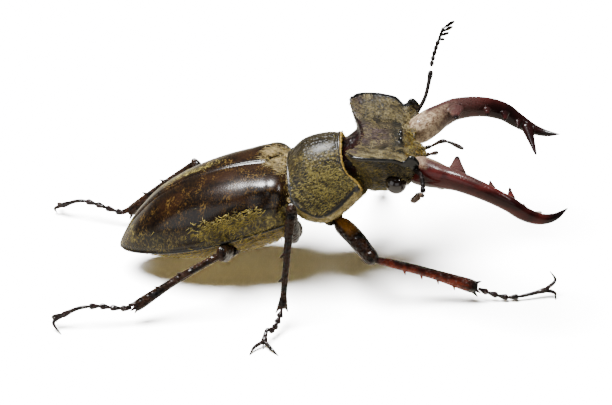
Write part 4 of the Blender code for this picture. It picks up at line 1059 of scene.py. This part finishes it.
# %% [markdown]
# A hair's colour runs from a dark brown to a bright gold, and each tuft carries its own tint between the two.
# A texture could vary it, but a number on each tuft never cuts one tuft into two colours.

# %% Hair finishes
def hair_finish(name, dark, light):
    made = Finish(name, Roughness=0.42, Specular_IOR_Level=0.6)
    tint, = made.marks("tint")
    made.set(Base_Color=made.mix(tint, dark, light))
    return made.material


GOLD_HAIR = hair_finish("gold_hair", (0.05, 0.038, 0.006), (0.72, 0.56, 0.12))
CREAM_HAIR = hair_finish("cream_hair", (0.022, 0.015, 0.005), (0.68, 0.50, 0.18))
YELLOW_HAIR = hair_finish("yellow_hair", (0.26, 0.16, 0.02), (0.80, 0.55, 0.12))
BRONZE_HAIR = hair_finish("bronze_hair", (0.006, 0.006, 0.003), (0.66, 0.54, 0.15))
DARK_GOLD = hair_finish("dark_gold_hair", (0.008, 0.007, 0.003), (0.40, 0.30, 0.06))
HEAD_HAIR = hair_finish("head_hair", (0.006, 0.005, 0.003), (0.46, 0.36, 0.15))
print("first hair finish", GOLD_HAIR.name)

# %% [markdown]
# A wing case is a dark brown shell under a thin clear layer. Worn patches are redder, and gold flecks lie on it
# as a film of specks, thick where the dust mark is high; on the far case that mark also holds a painted
# reflection. Fine pits and a slow waviness are bumps, because they are too small to model.

# %% Wing case finish
def case_finish():
    made = Finish("wing_case", Coat_Weight=0.1, Coat_Roughness=0.3, Specular_IOR_Level=0.45)
    dust_and_painted_light, rim = made.marks("dust_and_painted_light", "rim")
    worn = made.noise(3.2, 5, (2.0, 1, 1), 0.65).between(0.42, 0.66)
    speck = made.noise(0.26, 3, (1.0, 1.5, 1.5), 0.7).between(0.48, 0.60)
    blotch = made.noise(1.6, 4, (1.0, 1.8, 1.8)).between(0.42, 0.7)
    shell = made.mix(worn, (0.004, 0.0016, 0.0010), (0.019, 0.0066, 0.0021))
    shell = made.mix((speck * (blotch * 0.7 + 0.12)).clip(), shell, (0.12, 0.060, 0.012))
    gold = made.mix(made.noise(0.6, 3).between(0.35, 0.65), (0.035, 0.027, 0.005), (0.54, 0.44, 0.11))
    # On the far case, part of the dust mark is a painted reflection, which this film carries.
    film = (dust_and_painted_light * (speck * 0.8 + 0.35) + blotch * speck * 0.25 - 0.1).clip() * (1 - rim)
    made.set(Base_Color=made.mix(rim * 0.95, made.mix(film * 0.85, shell, gold), (0.004, 0.003, 0.003)),
             Roughness=(film * 0.25 + worn * 0.04 - rim * 0.1 + 0.2).clip())
    made.bump(made.cells(0.22), 0.22, 0.03)
    made.bump(made.noise(1.2, 5, (2, 1, 1), 0.65), 0.3, 0.08)
    return made.material


CASE = case_finish()
print(CASE.name)

# %% [markdown]
# The pronotum is the same dark shell, rougher, with its gold film on the slopes; on the far side of the top the
# film is thinned as painted shade. Its edge beads are black and glossy, a yellow collar shows along its front
# edge, and its underside is pale. Marks place all of these, as no pattern of noise could.

# %% Pronotum finish
def shield_finish():
    made = Finish("pronotum", Coat_Roughness=0.34, Specular_IOR_Level=0.14)
    dust_and_painted_light, rim, under, collar, far = made.marks("dust_and_painted_light", "rim", "under", "collar", "far")
    cloudy = made.noise(2.2, 4).between(0.35, 0.65)
    speck = made.noise(0.34, 2, (1.3, 1, 1), 0.8).between(0.46, 0.58)
    shell = made.mix(cloudy, (0.010, 0.008, 0.005), (0.030, 0.023, 0.011))
    gold = made.mix(made.noise(1.2, 3).between(0.35, 0.65), (0.03, 0.024, 0.006), (0.42, 0.31, 0.065))
    patch = made.noise(3.4, 2).between(0.4, 0.6)
    # The dust mark also carries painted shade, thinning the film on the far side of the top.
    film = (dust_and_painted_light * speck * (cloudy * 0.4 + patch * 0.7 + 0.2)).clip()
    top = made.mix(film * 0.8, shell, gold)
    belly = made.mix(cloudy, (0.30, 0.21, 0.05), (0.78, 0.64, 0.32))
    skin = made.mix(rim, made.mix(under, top, belly), (0.004, 0.0035, 0.003))
    made.set(Base_Color=made.mix(collar, skin, (0.85, 0.56, 0.10)),
             Roughness=(film * 0.3 + under * 0.3 - rim * 0.2 + 0.29).clip(),
             Coat_Weight=((1 - far) * 0.7 + rim * 0.8).clip())
    made.bump(made.cells(0.42), 1.0, 0.15)
    made.bump(made.noise(1.1, 3), 0.25, 0.08)
    return made.material


SHIELD_SKIN = shield_finish()
print(SHIELD_SKIN.name)

# %% [markdown]
# The head is duller and browner. Its saddle is purple, its neck nearly black and its brow golden brown. Painted
# shade darkens the hollows, the back and the lower part of the head, and takes gold off them. The ridges and
# knobs are black and catch sharp lights.

# %% Head finish
def head_finish():
    made = Finish("head_shell", Coat_Roughness=0.16, Specular_IOR_Level=0.15)
    rim, frons, purple, neck, painted_shade, middle = made.marks("rim", "frons", "purple", "neck", "painted_shade", "middle")
    speck = made.noise(0.34, 2, (1.3, 1, 1), 0.8).between(0.46, 0.58)
    cloudy = made.noise(1.8, 5, roughness=0.6).between(0.36, 0.64)
    shell = made.mix(cloudy, (0.010, 0.008, 0.005), (0.038, 0.030, 0.018))
    # Painted shade: this mark darkens the hollows, the back and the lower head, and thins the gold there.
    shell = made.mix(painted_shade * 0.8, shell, (0.010, 0.010, 0.007))
    shell = made.mix(purple * 0.8, shell, made.mix(speck, (0.016, 0.009, 0.009), (0.085, 0.060, 0.060)))
    gold = made.mix(made.noise(0.6, 2), (0.05, 0.038, 0.012), (0.34, 0.27, 0.11))
    film = (speck * (1 - purple * 0.6) * (cloudy * 0.8 + 0.1) * (1 - painted_shade) * (1 - middle * 0.8)).clip()
    top = made.mix((film * (0.85 - middle * 0.45)).clip(), shell, gold)
    top = made.mix(frons, top, made.mix(speck, (0.010, 0.008, 0.003), (0.13, 0.08, 0.010)))
    top = made.mix(neck, top, made.mix(cloudy, (0.003, 0.002, 0.002), (0.016, 0.004, 0.004)))
    made.set(Base_Color=made.mix(rim, top, (0.003, 0.003, 0.003)),
             Roughness=(film * 0.1 - rim * 0.24 + 0.38 - neck * 0.14).clip(),
             Coat_Weight=(rim * 0.8 + 0.03).clip())
    made.bump(made.cells(0.4) * (1 - rim * 0.5), 0.9, 0.09)
    made.bump(made.noise(0.9, 3), 0.25, 0.07)
    return made.material


HEAD_SKIN = head_finish()
print(HEAD_SKIN.name)

# %% [markdown]
# A jaw is a dark, glossy red. Its root is tan and rough, its upper face granular, and its tip and teeth black.
# The same black lies over the far jaw's outer half as painted shade.
# The granules are far too many to model, so one cell pattern gives both their colour and their bump.

# %% Jaw finish
def jaw_finish():
    made = Finish("mandible", Coat_Weight=0.3, Coat_Roughness=0.12, Specular_IOR_Level=0.12)
    base, tip, grain = made.marks("base", "tip", "grain")
    cloudy = made.noise(2.4, 4, (2, 1, 1)).between(0.35, 0.65)
    pits = made.cells(0.3).between(0.2, 0.5)
    red = made.mix(cloudy, (0.020, 0.004, 0.004), (0.075, 0.012, 0.011))
    tan_share = made.noise(0.6, 4, roughness=0.7).between(0.34, 0.7)
    tan = made.mix(tan_share, (0.17, 0.100, 0.058), (0.68, 0.52, 0.33))
    body = made.mix(grain * (pits * 0.6 + 0.2), red, (0.070, 0.036, 0.032))
    body = made.mix(base * 0.9, body, tan)
    # The tip mark also paints shade over the far jaw from its middle on.
    made.set(Base_Color=made.mix(tip, body, (0.006, 0.003, 0.003)),
             Roughness=(base * 0.3 + grain * 0.1 + 0.2).clip())
    made.bump(pits * (base * 0.5 + grain + 0.1).clip(), 0.8, 0.08)
    made.bump(made.noise(1.2, 3), 0.15, 0.08)
    return made.material


JAW = jaw_finish()
print(JAW.name)

# %% [markdown]
# Legs, feelers and mouth feelers are one kind of shell in several colours, from black to the front shins' red.
# Only colour, gloss and grain change, so one function mixes them all. The eyes are almost black lenses with
# tiny facets, and the underside is brown with yellow specks.

# %% Leg, eye and underside finishes
def leg_finish(name, dark, red, share, coat_weight=0.3, dull=0.0, gloss=0.5, grain=0.2):
    made = Finish(name, Coat_Weight=coat_weight, Coat_Roughness=0.12, Specular_IOR_Level=gloss)
    cloudy, (warm, edge) = made.noise(1.2, 4).between(0.35, 0.65), made.marks("warm", "edge")
    skin = made.mix(warm, made.mix(cloudy * share, dark, red), (0.30, 0.12, 0.014))
    made.set(Base_Color=made.mix(edge, skin, (0.006, 0.004, 0.004)),
             Roughness=(cloudy * 0.12 + (0.16 + dull)).clip())
    made.bump(made.cells(0.5, (1.3, 1, 1)), 1.0, grain)
    made.bump(made.noise(0.8, 2), 0.2, 0.05)
    return made.material


def eye_finish():
    made = Finish("eye", Roughness=0.06, Coat_Weight=1.0, Coat_Roughness=0.03)
    made.set(Base_Color=made.mix(made.noise(0.8, 2), (0.004, 0.003, 0.003), (0.020, 0.009, 0.007)))
    made.bump(made.cells(0.07), 0.06, 0.01)
    return made.material


def under_finish():
    made = Finish("underside", Coat_Weight=0.0)
    cloudy = made.noise(1.2, 4).between(0.35, 0.65)
    speck = made.noise(0.2, 3).between(0.45, 0.6)
    shell = made.mix(cloudy, (0.05, 0.035, 0.018), (0.12, 0.085, 0.035))
    made.set(Base_Color=made.mix(speck * 0.7, shell, (0.46, 0.32, 0.06)), Roughness=speck * 0.2 + 0.4)
    made.bump(made.cells(0.2), 0.4, 0.04)
    return made.material


EYE, UNDER = eye_finish(), under_finish()
CLUB = leg_finish("feeler_club", (0.030, 0.018, 0.012), (0.20, 0.12, 0.075), 0.9, 0.05)
BLACK = leg_finish("black_shell", (0.003, 0.003, 0.003), (0.010, 0.007, 0.006), 0.5, 0.3, 0.0, 0.4, 0.02)
LEG = leg_finish("leg", (0.004, 0.003, 0.003), (0.040, 0.015, 0.006), 0.8, 0.0, 0.0, 0.25)
RED_LEG = leg_finish("front_shin", (0.085, 0.012, 0.006), (0.26, 0.036, 0.012), 0.9, 0.12, 0.0, 0.3)
FOOT = leg_finish("foot", (0.006, 0.005, 0.005), (0.035, 0.012, 0.010), 0.6, 0.1)
FEELER = leg_finish("feeler", (0.005, 0.004, 0.004), (0.022, 0.012, 0.009), 0.6, 0.0, 0.3, 0.12)
PALP = leg_finish("palp", (0.014, 0.009, 0.008), (0.07, 0.03, 0.016), 0.8)
HIP = leg_finish("hip", (0.020, 0.013, 0.005), (0.085, 0.056, 0.016), 0.9, 0.0, 0.35, 0.1)
print("finishes", len(bpy.data.materials))

# %% [markdown]
# Gold dust on a wing case has rubbed off the top and stays in a band down the side, low at the front, at the
# shoulder and at the tip. The strip along the back of the far case is not dust but a painted reflection, the
# pale sheen where that case's top catches the light at a grazing angle. The rim is a black bead. The skin gets
# its thickness after the marks, so that its inner face carries them too.

# %% Dressing the wing cases
def case_dust_and_sheen(points, side):
    back, out, low = in_hind(points)
    side_band = ramp(low, 2.4, 4.4) * ramp(back, 3, 8) * (1 - 0.6 * ramp(back, 11, 17))
    front_low = 1.6 * ramp(low, 2.9, 4.2) * fade(back, 5, 10)
    edge_band = 1.4 * ramp(low, 4.8, 5.6) * fade(back, 9, 14)
    tip = 0.55 * ramp(back, 23.5, 25.0)
    # The far case's strip is a painted reflection of the lamps at a grazing angle, laid on as gold film.
    painted_reflection_strip = 0.9 * (side > 0) * ramp(back, 8, 13) * ramp(out, 1.0, 2.0) * fade(out, 3.5, 5.0)
    reach = 1.2 if side < 0 else 5.0
    shoulder = fade(back, reach * 0.2, reach) * (0.2 + 0.35 * fade(out, 3, 5))
    thick = np.max([side_band, front_low, edge_band, tip, painted_reflection_strip, shoulder], axis=0)
    return thick * (0.35 + 0.65 * ramp(cloud(points, 1.7, 3.0), 0.3, 0.6))


for name, side in SIDES:
    case = cases[name]
    edge = [HIND @ Vector((-x, side * value_at(CASE_HALF_WIDTH, x), CASE_EDGE_Z))
            for x in evenly(60, 0, CASE_LENGTH)]
    mark(case, "dust_and_painted_light", lambda p: case_dust_and_sheen(p, side))
    mark(case, "rim", lambda p: fade(from_path(p, edge), 0.25, 0.5))
    changed(case, "SOLIDIFY", thickness=CASE_WALL * MM, offset=-1.0, use_rim=True)
    dressed(case, "wing_case_" + name, "wing_cases", CASE, "elytron_" + name)

# %% [markdown]
# On a jaw, the tan root fades along it and lies on its inner face, and the grain lies on its upper one. The
# points are black, and the far jaw is darkened all the way from its middle with painted shade.

# %% Dressing the jaws
def facet(places, inner, upper, side):
    """How far a place lies on the jaw's inner and upper faces, each by its share."""
    line = np.array(JAW_LINE)
    y, z = (np.interp(places[:, 0], line[:, 0], line[:, k]) for k in (1, 2))
    return (y - side * places[:, 1]) * inner + (places[:, 2] - z) * upper


def jaw_base(p, side):
    inner = ramp(facet(p, 1.0, 0.15, side), 0.1, 0.9)
    upper = fade(p[:, 0], 16.6, 17.8) * ramp(facet(p, 0.5, 1.0, side), 0.2, 1.0)
    share = 1.0 if side > 0 else 0.5
    return share * fade(p[:, 0] + cloud(p, 0.9) * 1.5, 18.0, 22.5) * np.maximum(inner, upper)


def jaw_tip_and_far_shade(p, side):
    points = [fade(from_place(p, (x, side * y, z)), 0.5, 1.6) for root, (x, y, z), radius, flat in JAW_TEETH]
    # On the far jaw, the black from its middle on is painted shade, not the jaw's own colour.
    share = 0.85 if side > 0 else 0.0
    return np.max([ramp(p[:, 0], 33.2, 35.6), share * ramp(p[:, 0], 24.0, 31.0), *points], axis=0)


for name, side in SIDES:
    dressed(jaws[name], "jaw_" + name, "mandibles", JAW, "mandible_" + name)
    mark(jaws[name], "base", lambda p: jaw_base(p, side))
    mark(jaws[name], "tip", lambda p: jaw_tip_and_far_shade(p, side))
    mark(jaws[name], "grain", lambda p: ramp(facet(p, 0.6, 1.0, side), 0.5, 1.0) * fade(p[:, 0], 23, 28))

# %% [markdown]
# Eyes and feelers need no marks. The near feeler's club is browner than the far one.

# %% Dressing the eyes and feelers
for name, side in SIDES:
    dressed(eyes[name], "eye_lens_" + name, "eyes", EYE, "eye_" + name)
    dressed(scapes[name], "feeler_root_" + name, "antennae", FEELER, "antenna_scape_" + name)
    club = CLUB if side < 0 else FEELER
    dressed(feeler_ends[name], "feeler_club_" + name, "antennae", club, "antenna_flagellum_" + name)

# %% [markdown]
# Marks on the prothorax go by the chest's own frame: how far forward a place lies, with the sweep of the plan
# taken out, and how far it lies above the side keel. The keel and the two end beads are black, what lies under
# the keel is belly, and the gold dust lies on the slopes, thickest along the front. On the far side of the top
# the dust is thinned, which is painted shade.

# %% Dressing the prothorax
def along_shield(local):
    """How far forward a place lies on the prothorax, with the sweep of its plan taken out."""
    along = local[:, 0]
    for _ in range(4):
        along = local[:, 0] - np.array([
            margin(min(x, SHIELD_LENGTH), min(abs(y) / value_at(SHIELD_HALF_WIDTH, x), 1.0))
            for x, y in zip(along, local[:, 1])])
    return along


def keel_drop(local):
    """How far a place lies above (or, below zero, under) the prothorax's side keel."""
    return local[:, 2] - np.array([value_at(SHIELD_EDGE, x) for x in local[:, 0]])


def shield_rim(local):
    drop, along = keel_drop(local), along_shield(local)
    edge = np.minimum(np.abs(along), np.abs(SHIELD_LENGTH - along))
    keel = fade(np.abs(drop - 0.02), 0.12, 0.3) * ramp(np.abs(local[:, 1]), 5.5, 6.0)
    return np.maximum(keel, fade(edge, 0.28, 0.45) * ramp(drop, -0.2, 0.1))


def shield_dust_and_shade(points):
    """Gold dust on the slopes, thickest along the front, thin at the back; less on the far top as painted shade.
    """
    along, out = along_shield(in_frame(points, CHEST)), np.abs(points[:, 1])
    slopes = 0.25 + 0.75 * ramp(out + cloud(points, 2.0) * 3 - 1.5, 1.5, 4.0)
    front = ramp(along, 6.6, 8.0) * ramp(out, 3.5, 5.5)
    back = 1 - 0.65 * fade(along, 1.0, 4.0)
    # The last factor is painted shade: it takes the gold off the far side of the top.
    return np.maximum(slopes * 0.75 * back, front) * (1 - 0.8 * ramp(points[:, 1], -2.6, -0.6))


def shield_collar(local):
    lip = ramp(along_shield(local), SHIELD_LENGTH - 0.07, SHIELD_LENGTH - 0.02)
    return lip * ramp(keel_drop(local), -0.1, 0.3)


mark(prothorax, "rim", lambda p: shield_rim(in_frame(p, CHEST)))
mark(prothorax, "under", lambda p: fade(keel_drop(in_frame(p, CHEST)), -0.5, -0.2))
mark(prothorax, "dust_and_painted_light", shield_dust_and_shade)
mark(prothorax, "far", lambda p: ramp(p[:, 1], -3.5, -0.5))
mark(prothorax, "collar", lambda p: shield_collar(in_frame(p, CHEST)))
dressed(prothorax, "prothorax_skin", "pronotum", SHIELD_SKIN, "prothorax")

# %% [markdown]
# On the head, the ridges, the knobs and the brow's bumps are black, the saddle is purple and the neck dark. The
# strip before the brow, the inside of each ear, the back and the lower head are darkened with painted shade.
# The head is alike on both sides, so no mark asks which side a place is on.

# %% Dressing the head
EAR_BACK = ((0.0, 3.9, 6.4, 8.5), (8.15, 7.4, 6.1, 5.5))
KNOB = [(14.5, 9.1, 24.1), (15.3, 9.3, 24.4), (16.2, 9.3, 23.4)]


def folded(points):
    """Places with both sides of the beetle laid over each other."""
    return points * (1, 0, 1) + np.abs(points) * (0, 1, 0)


def before_ear(points):
    """How far a place lies before the hind edge of the ears."""
    return points[:, 0] - np.interp(np.abs(points[:, 1]), *EAR_BACK)


def head_rim(points):
    sided = folded(points)
    ridge, knob = fade(from_path(sided, RIDGE), 0.2, 0.4), fade(from_path(sided, KNOB), 0.65, 1.0)
    bumps = fade(from_place(sided, (13.7, 1.05, 23.8), (1.8, 1, 1)), 0.6, 0.9)
    return np.max([ridge, knob, bumps], axis=0)


def head_painted_shade(points):
    """Painted shade on the head: the strip before the brow, inside each ear's ridge, the back and the lower
    part.
    """
    out = np.abs(points[:, 1])
    brow = fade(np.abs(points[:, 0] - 13.3), 0.4, 1.2) * fade(out, 4.5, 7)
    hollow = fade(from_place(points, (11.5, 0, 24), (0.7, 0, 1)), 1, 2.4) * ramp(out, 6.0, 7.5) * 0.5
    behind = fade(points[:, 0], 8.2, 9.5) * 0.7
    below = ramp(22.0 + cloud(points, 2.0) * 3 - points[:, 2], 0.0, 1.5) * 0.3
    return np.max([brow, hollow, behind, below], axis=0) * (0.5 + 0.5 * ramp(cloud(points, 1.0), 0.35, 0.6))


def head_purple(points):
    saddle = fade(from_place(points, (8.6, 0, 23.8)), 2.0, 4.5)
    return np.maximum(saddle, fade(points[:, 0], 7.2, 8.4)) * ramp(points[:, 2], 19, 21)


mark(head, "rim", head_rim)
mark(head, "neck", lambda p: ramp(p[:, 2], 18.5, 20.5) * fade(before_ear(p), 0.15, 0.6))
mark(head, "frons", lambda p: ramp(p[:, 0], 14.0, 14.6) * fade(np.abs(p[:, 1]), 4.5, 6.5))
mark(head, "painted_shade", head_painted_shade)
mark(head, "middle", lambda p: fade(np.abs(p[:, 1]), 2.5, 6.0))
mark(head, "purple", head_purple)
dressed(head, "head_skin", "head_shell", HEAD_SKIN, "head")
for name, side in SIDES:
    dressed(ear_beads[name], "ear_bead_" + name, "head_shell", BLACK, "head")

# %% [markdown]
# The underside needs no marks. The scutellum is a scrap of wing case, so it wears that finish, evenly dusted.

# %% Dressing the underside and the scutellum
for name, piece in unders.items():
    dressed(piece, name + "_skin", "underside", UNDER, name)
mark(plate, "dust_and_painted_light", lambda p: np.full(len(p), 0.6))
mark(plate, "rim", lambda p: np.zeros(len(p)))
dressed(plate, "scutellum_skin", "wing_cases", CASE, "scutellum")

# %% [markdown]
# The front legs are the colourful ones: an orange patch on the thigh's upper face near the body, and red
# shins whose ends and upper edge are black. Both marks go by how far along and off the limb a place is.

# %% Dressing the legs and the mouth feelers
def along_limb(points, start, end):
    """How far along a limb each point is, from 0 to 1, how far off its line, and how far above it."""
    start, run = np.array(start), np.array(end) - np.array(start)
    share = (points - start) @ run / (run @ run)
    off = points - start - share[:, None] * run
    return share, np.linalg.norm(off, axis=1), off @ np.array((0.7, 0.0, 0.7))


def thigh_patch(points, leg):
    share, off, above = along_limb(points, leg["hip"], leg["knee"])
    return 0.9 * fade(share, 0.42, 0.62) * ramp(above, 0.1, 0.6)


def shin_edge(points, leg):
    share, off, above = along_limb(points, leg["knee"], leg["shin_end"])
    ends = np.maximum(fade(share, 0.0, 0.16), ramp(share, 0.86, 0.95))
    return np.max([ends, 0.9 * ramp(off, 1.0, 1.15), 0.7 * ramp(above, 0.45, 0.7)], axis=0)


for name, leg in LEGS.items():
    front = name.startswith("front")
    if front:
        mark(thighs[name], "warm", lambda p: thigh_patch(p, leg))
        mark(shins[name], "edge", lambda p: shin_edge(p, leg))
    dressed(hips[name], name + "_hip", "legs", HIP if front else LEG, name + "_coxa")
    dressed(thighs[name], name + "_thigh", "legs", LEG, name + "_femur")
    dressed(shins[name], name + "_shin", "front_tibiae" if front else "legs", RED_LEG if front else LEG,
            name + "_tibia")
    dressed(feet[name], name + "_foot", "tarsi", FOOT, name + "_tarsus")
for name, piece in palps.items():
    dressed(piece, name + "_rod", "palps", PALP, name)

# %% [markdown]
# On the wing cases, tufts follow the band down the side, and short cream hair lies at the base, in the corner
# beside the scutellum, which is hairy all over. Hair grows on the outer face only, so each rule looks at which
# way the skin faces, seen from the middle of the hind body.

# %% Coat of the wing cases
HIND_MIDDLE = (-16.0, 0.0, 10.0)


def outer_face(points, normals):
    return ramp((normals * (points - np.array(HIND_MIDDLE))).sum(axis=1), 0, 1)


def case_tufts(points, normals):
    back, out, low = in_hind(points)
    band = ramp(low, 1.9, 3.0) * (1 - 0.8 * ramp(low, 3.6, 5.0)) * ramp(back, 2.5, 6) * fade(back, 12, 16.5)
    patchy = 0.15 + 0.85 * ramp(cloud(points, 0.55, 5.0), 0.38, 0.62)
    return (band * patchy + 0.0002) * outer_face(points, normals)


def case_base(points, normals):
    back, out, low = in_hind(points)
    reach = np.where(points[:, 1] < 0, 1.3 + 1.6 * fade(out, 1.5, 3.0), 3.8)
    shoulder = fade(back / reach, 0.4, 1.0) * fade(out, 2.5, 5.0)
    return shoulder * ramp(cloud(points, 0.5, 2.0), 0.46, 0.6) * outer_face(points, normals)


for name, side in SIDES:
    coat("case_tufts_" + name, cases[name], 620, 11 + side, case_tufts, DOWN_AND_BACK, 0.85, 0.08, GOLD_HAIR,
         "wing_cases", 0.16, 0.6)
    coat("case_base_hair_" + name, cases[name], 330, 15 + side, case_base, BACK, 1.2, 0.075, CREAM_HAIR,
         "wing_cases", 0.3, 0.5)
coat("scutellum_hair", plate, 170, 19, lambda p, n: ramp(n[:, 2], 0, 0.3), BACK, 0.9, 0.09, CREAM_HAIR,
     "wing_cases", 0.3, 0.4)

# %% [markdown]
# The pronotum's hair is bronze and lies thick on its slopes and below the keel, and thin on its polished top. A
# fringe of longer hair stands along its hind edge, and a yellow one along its front.

# %% Coat of the pronotum
def shield_hair(points, normals):
    local = in_frame(points, CHEST)
    drop, along = keel_drop(local), local[:, 0]
    sides = ramp(np.abs(points[:, 1]) + cloud(points, 1.6) * 3 - 1.5, 3.0, 6.0)
    far = 1 - 0.85 * ramp(points[:, 1], -2.6, -0.6)
    front = 0.3 + 0.7 * ramp(along, 1.0, 5.0)
    return np.where(drop > 0.5, (0.1 + 0.9 * sides) * far * front, 0.5 * (drop < -0.4)) * ramp(along, 0.4, 0.6)


def shield_edge(points, low, high):
    local = in_frame(points, CHEST)
    along = along_shield(local)
    return ((along > low) & (along < high) & (keel_drop(local) > -0.6)).astype(float)


def hind_edge(points, normals):
    return shield_edge(points, -0.2, 0.25)


def front_edge(points, normals):
    return shield_edge(points, SHIELD_LENGTH - 0.05, SHIELD_LENGTH + 0.3)


coat("shield_hair", prothorax, 7000, 21, shield_hair, DOWN_AND_BACK, 0.62, 0.05, BRONZE_HAIR,
     "pronotum", 0.22, 0.65)
coat("shield_hind_fringe", prothorax, 900, 22, hind_edge, BACK, 0.75, 0.13, CREAM_HAIR,
     "pronotum", 0.15, 0.2)
coat("shield_front_fringe", prothorax, 900, 23, front_edge, FORWARD, 0.4, 0.12, YELLOW_HAIR,
     "pronotum", 0.2, 0.2)

# %% [markdown]
# The head's hair is short and lies in swirls, so its way is turned by a slow noise. It leaves the ridges, the
# knobs, the bumps, the eyes and the neck bare, and it is thin in the hollows and over the middle.

# %% Coat of the head
def head_clear(points):
    eye_far = from_place(folded(points), (EYE_X, EYE_Y, EYE_Z))
    return (1 - head_rim(points)) * ramp(eye_far, 1.7, 2.1) * ramp(before_ear(points), 0.2, 0.6)


def head_top(points, normals):
    upward = ramp(normals[:, 2], 0.3, 0.7) * ramp(cloud(points, 1.2, 2.0), 0.36, 0.6)
    bare = (1 - 0.85 * head_painted_shade(points)) * (1 - 0.6 * fade(np.abs(points[:, 1]), 2.5, 5.0))
    return head_clear(points) * upward * bare


def head_side(points, normals):
    return head_clear(points) * fade(normals[:, 2], 0.2, 0.5) * ramp(cloud(points, 1.0, 4.0), 0.3, 0.6)


def head_front(points, normals):
    return head_clear(points) * ramp(points[:, 0], 13.9, 14.5) * fade(np.abs(points[:, 1]), 4.0, 6.5)


def swirled(points):
    swirl = np.array([noise.noise(Vector(p) / 2.2) for p in points]) * 4.0
    return np.stack([np.full(len(points), -1.0), swirl, np.zeros(len(points))], axis=1)


coat("head_top_hair", head, 4600, 31, head_top, swirled, 0.6, 0.045, HEAD_HAIR, "head_shell", 0.16, 0.6)
coat("head_side_hair", head, 3600, 32, head_side, swirled, 0.6, 0.05, DARK_GOLD, "head_shell", 0.25, 0.4)
coat("head_front_hair", head, 260, 33, head_front, DOWN, 0.7, 0.07, GOLD_HAIR, "head_shell", 0.3, 0.4)

# %% [markdown]
# The chest and the belly are woolly below. Gold tufts grow wherever the skin doesn't look upward, so one rule
# serves both pieces.

# %% Coat of the underside
for name, skin in unders.items():
    coat(name + "_hair", skin, 3000, 41, lambda p, n: fade(n[:, 2], 0.2, 0.6), BACK, 0.8, 0.1, GOLD_HAIR,
         "underside", 0.25, 0.35)
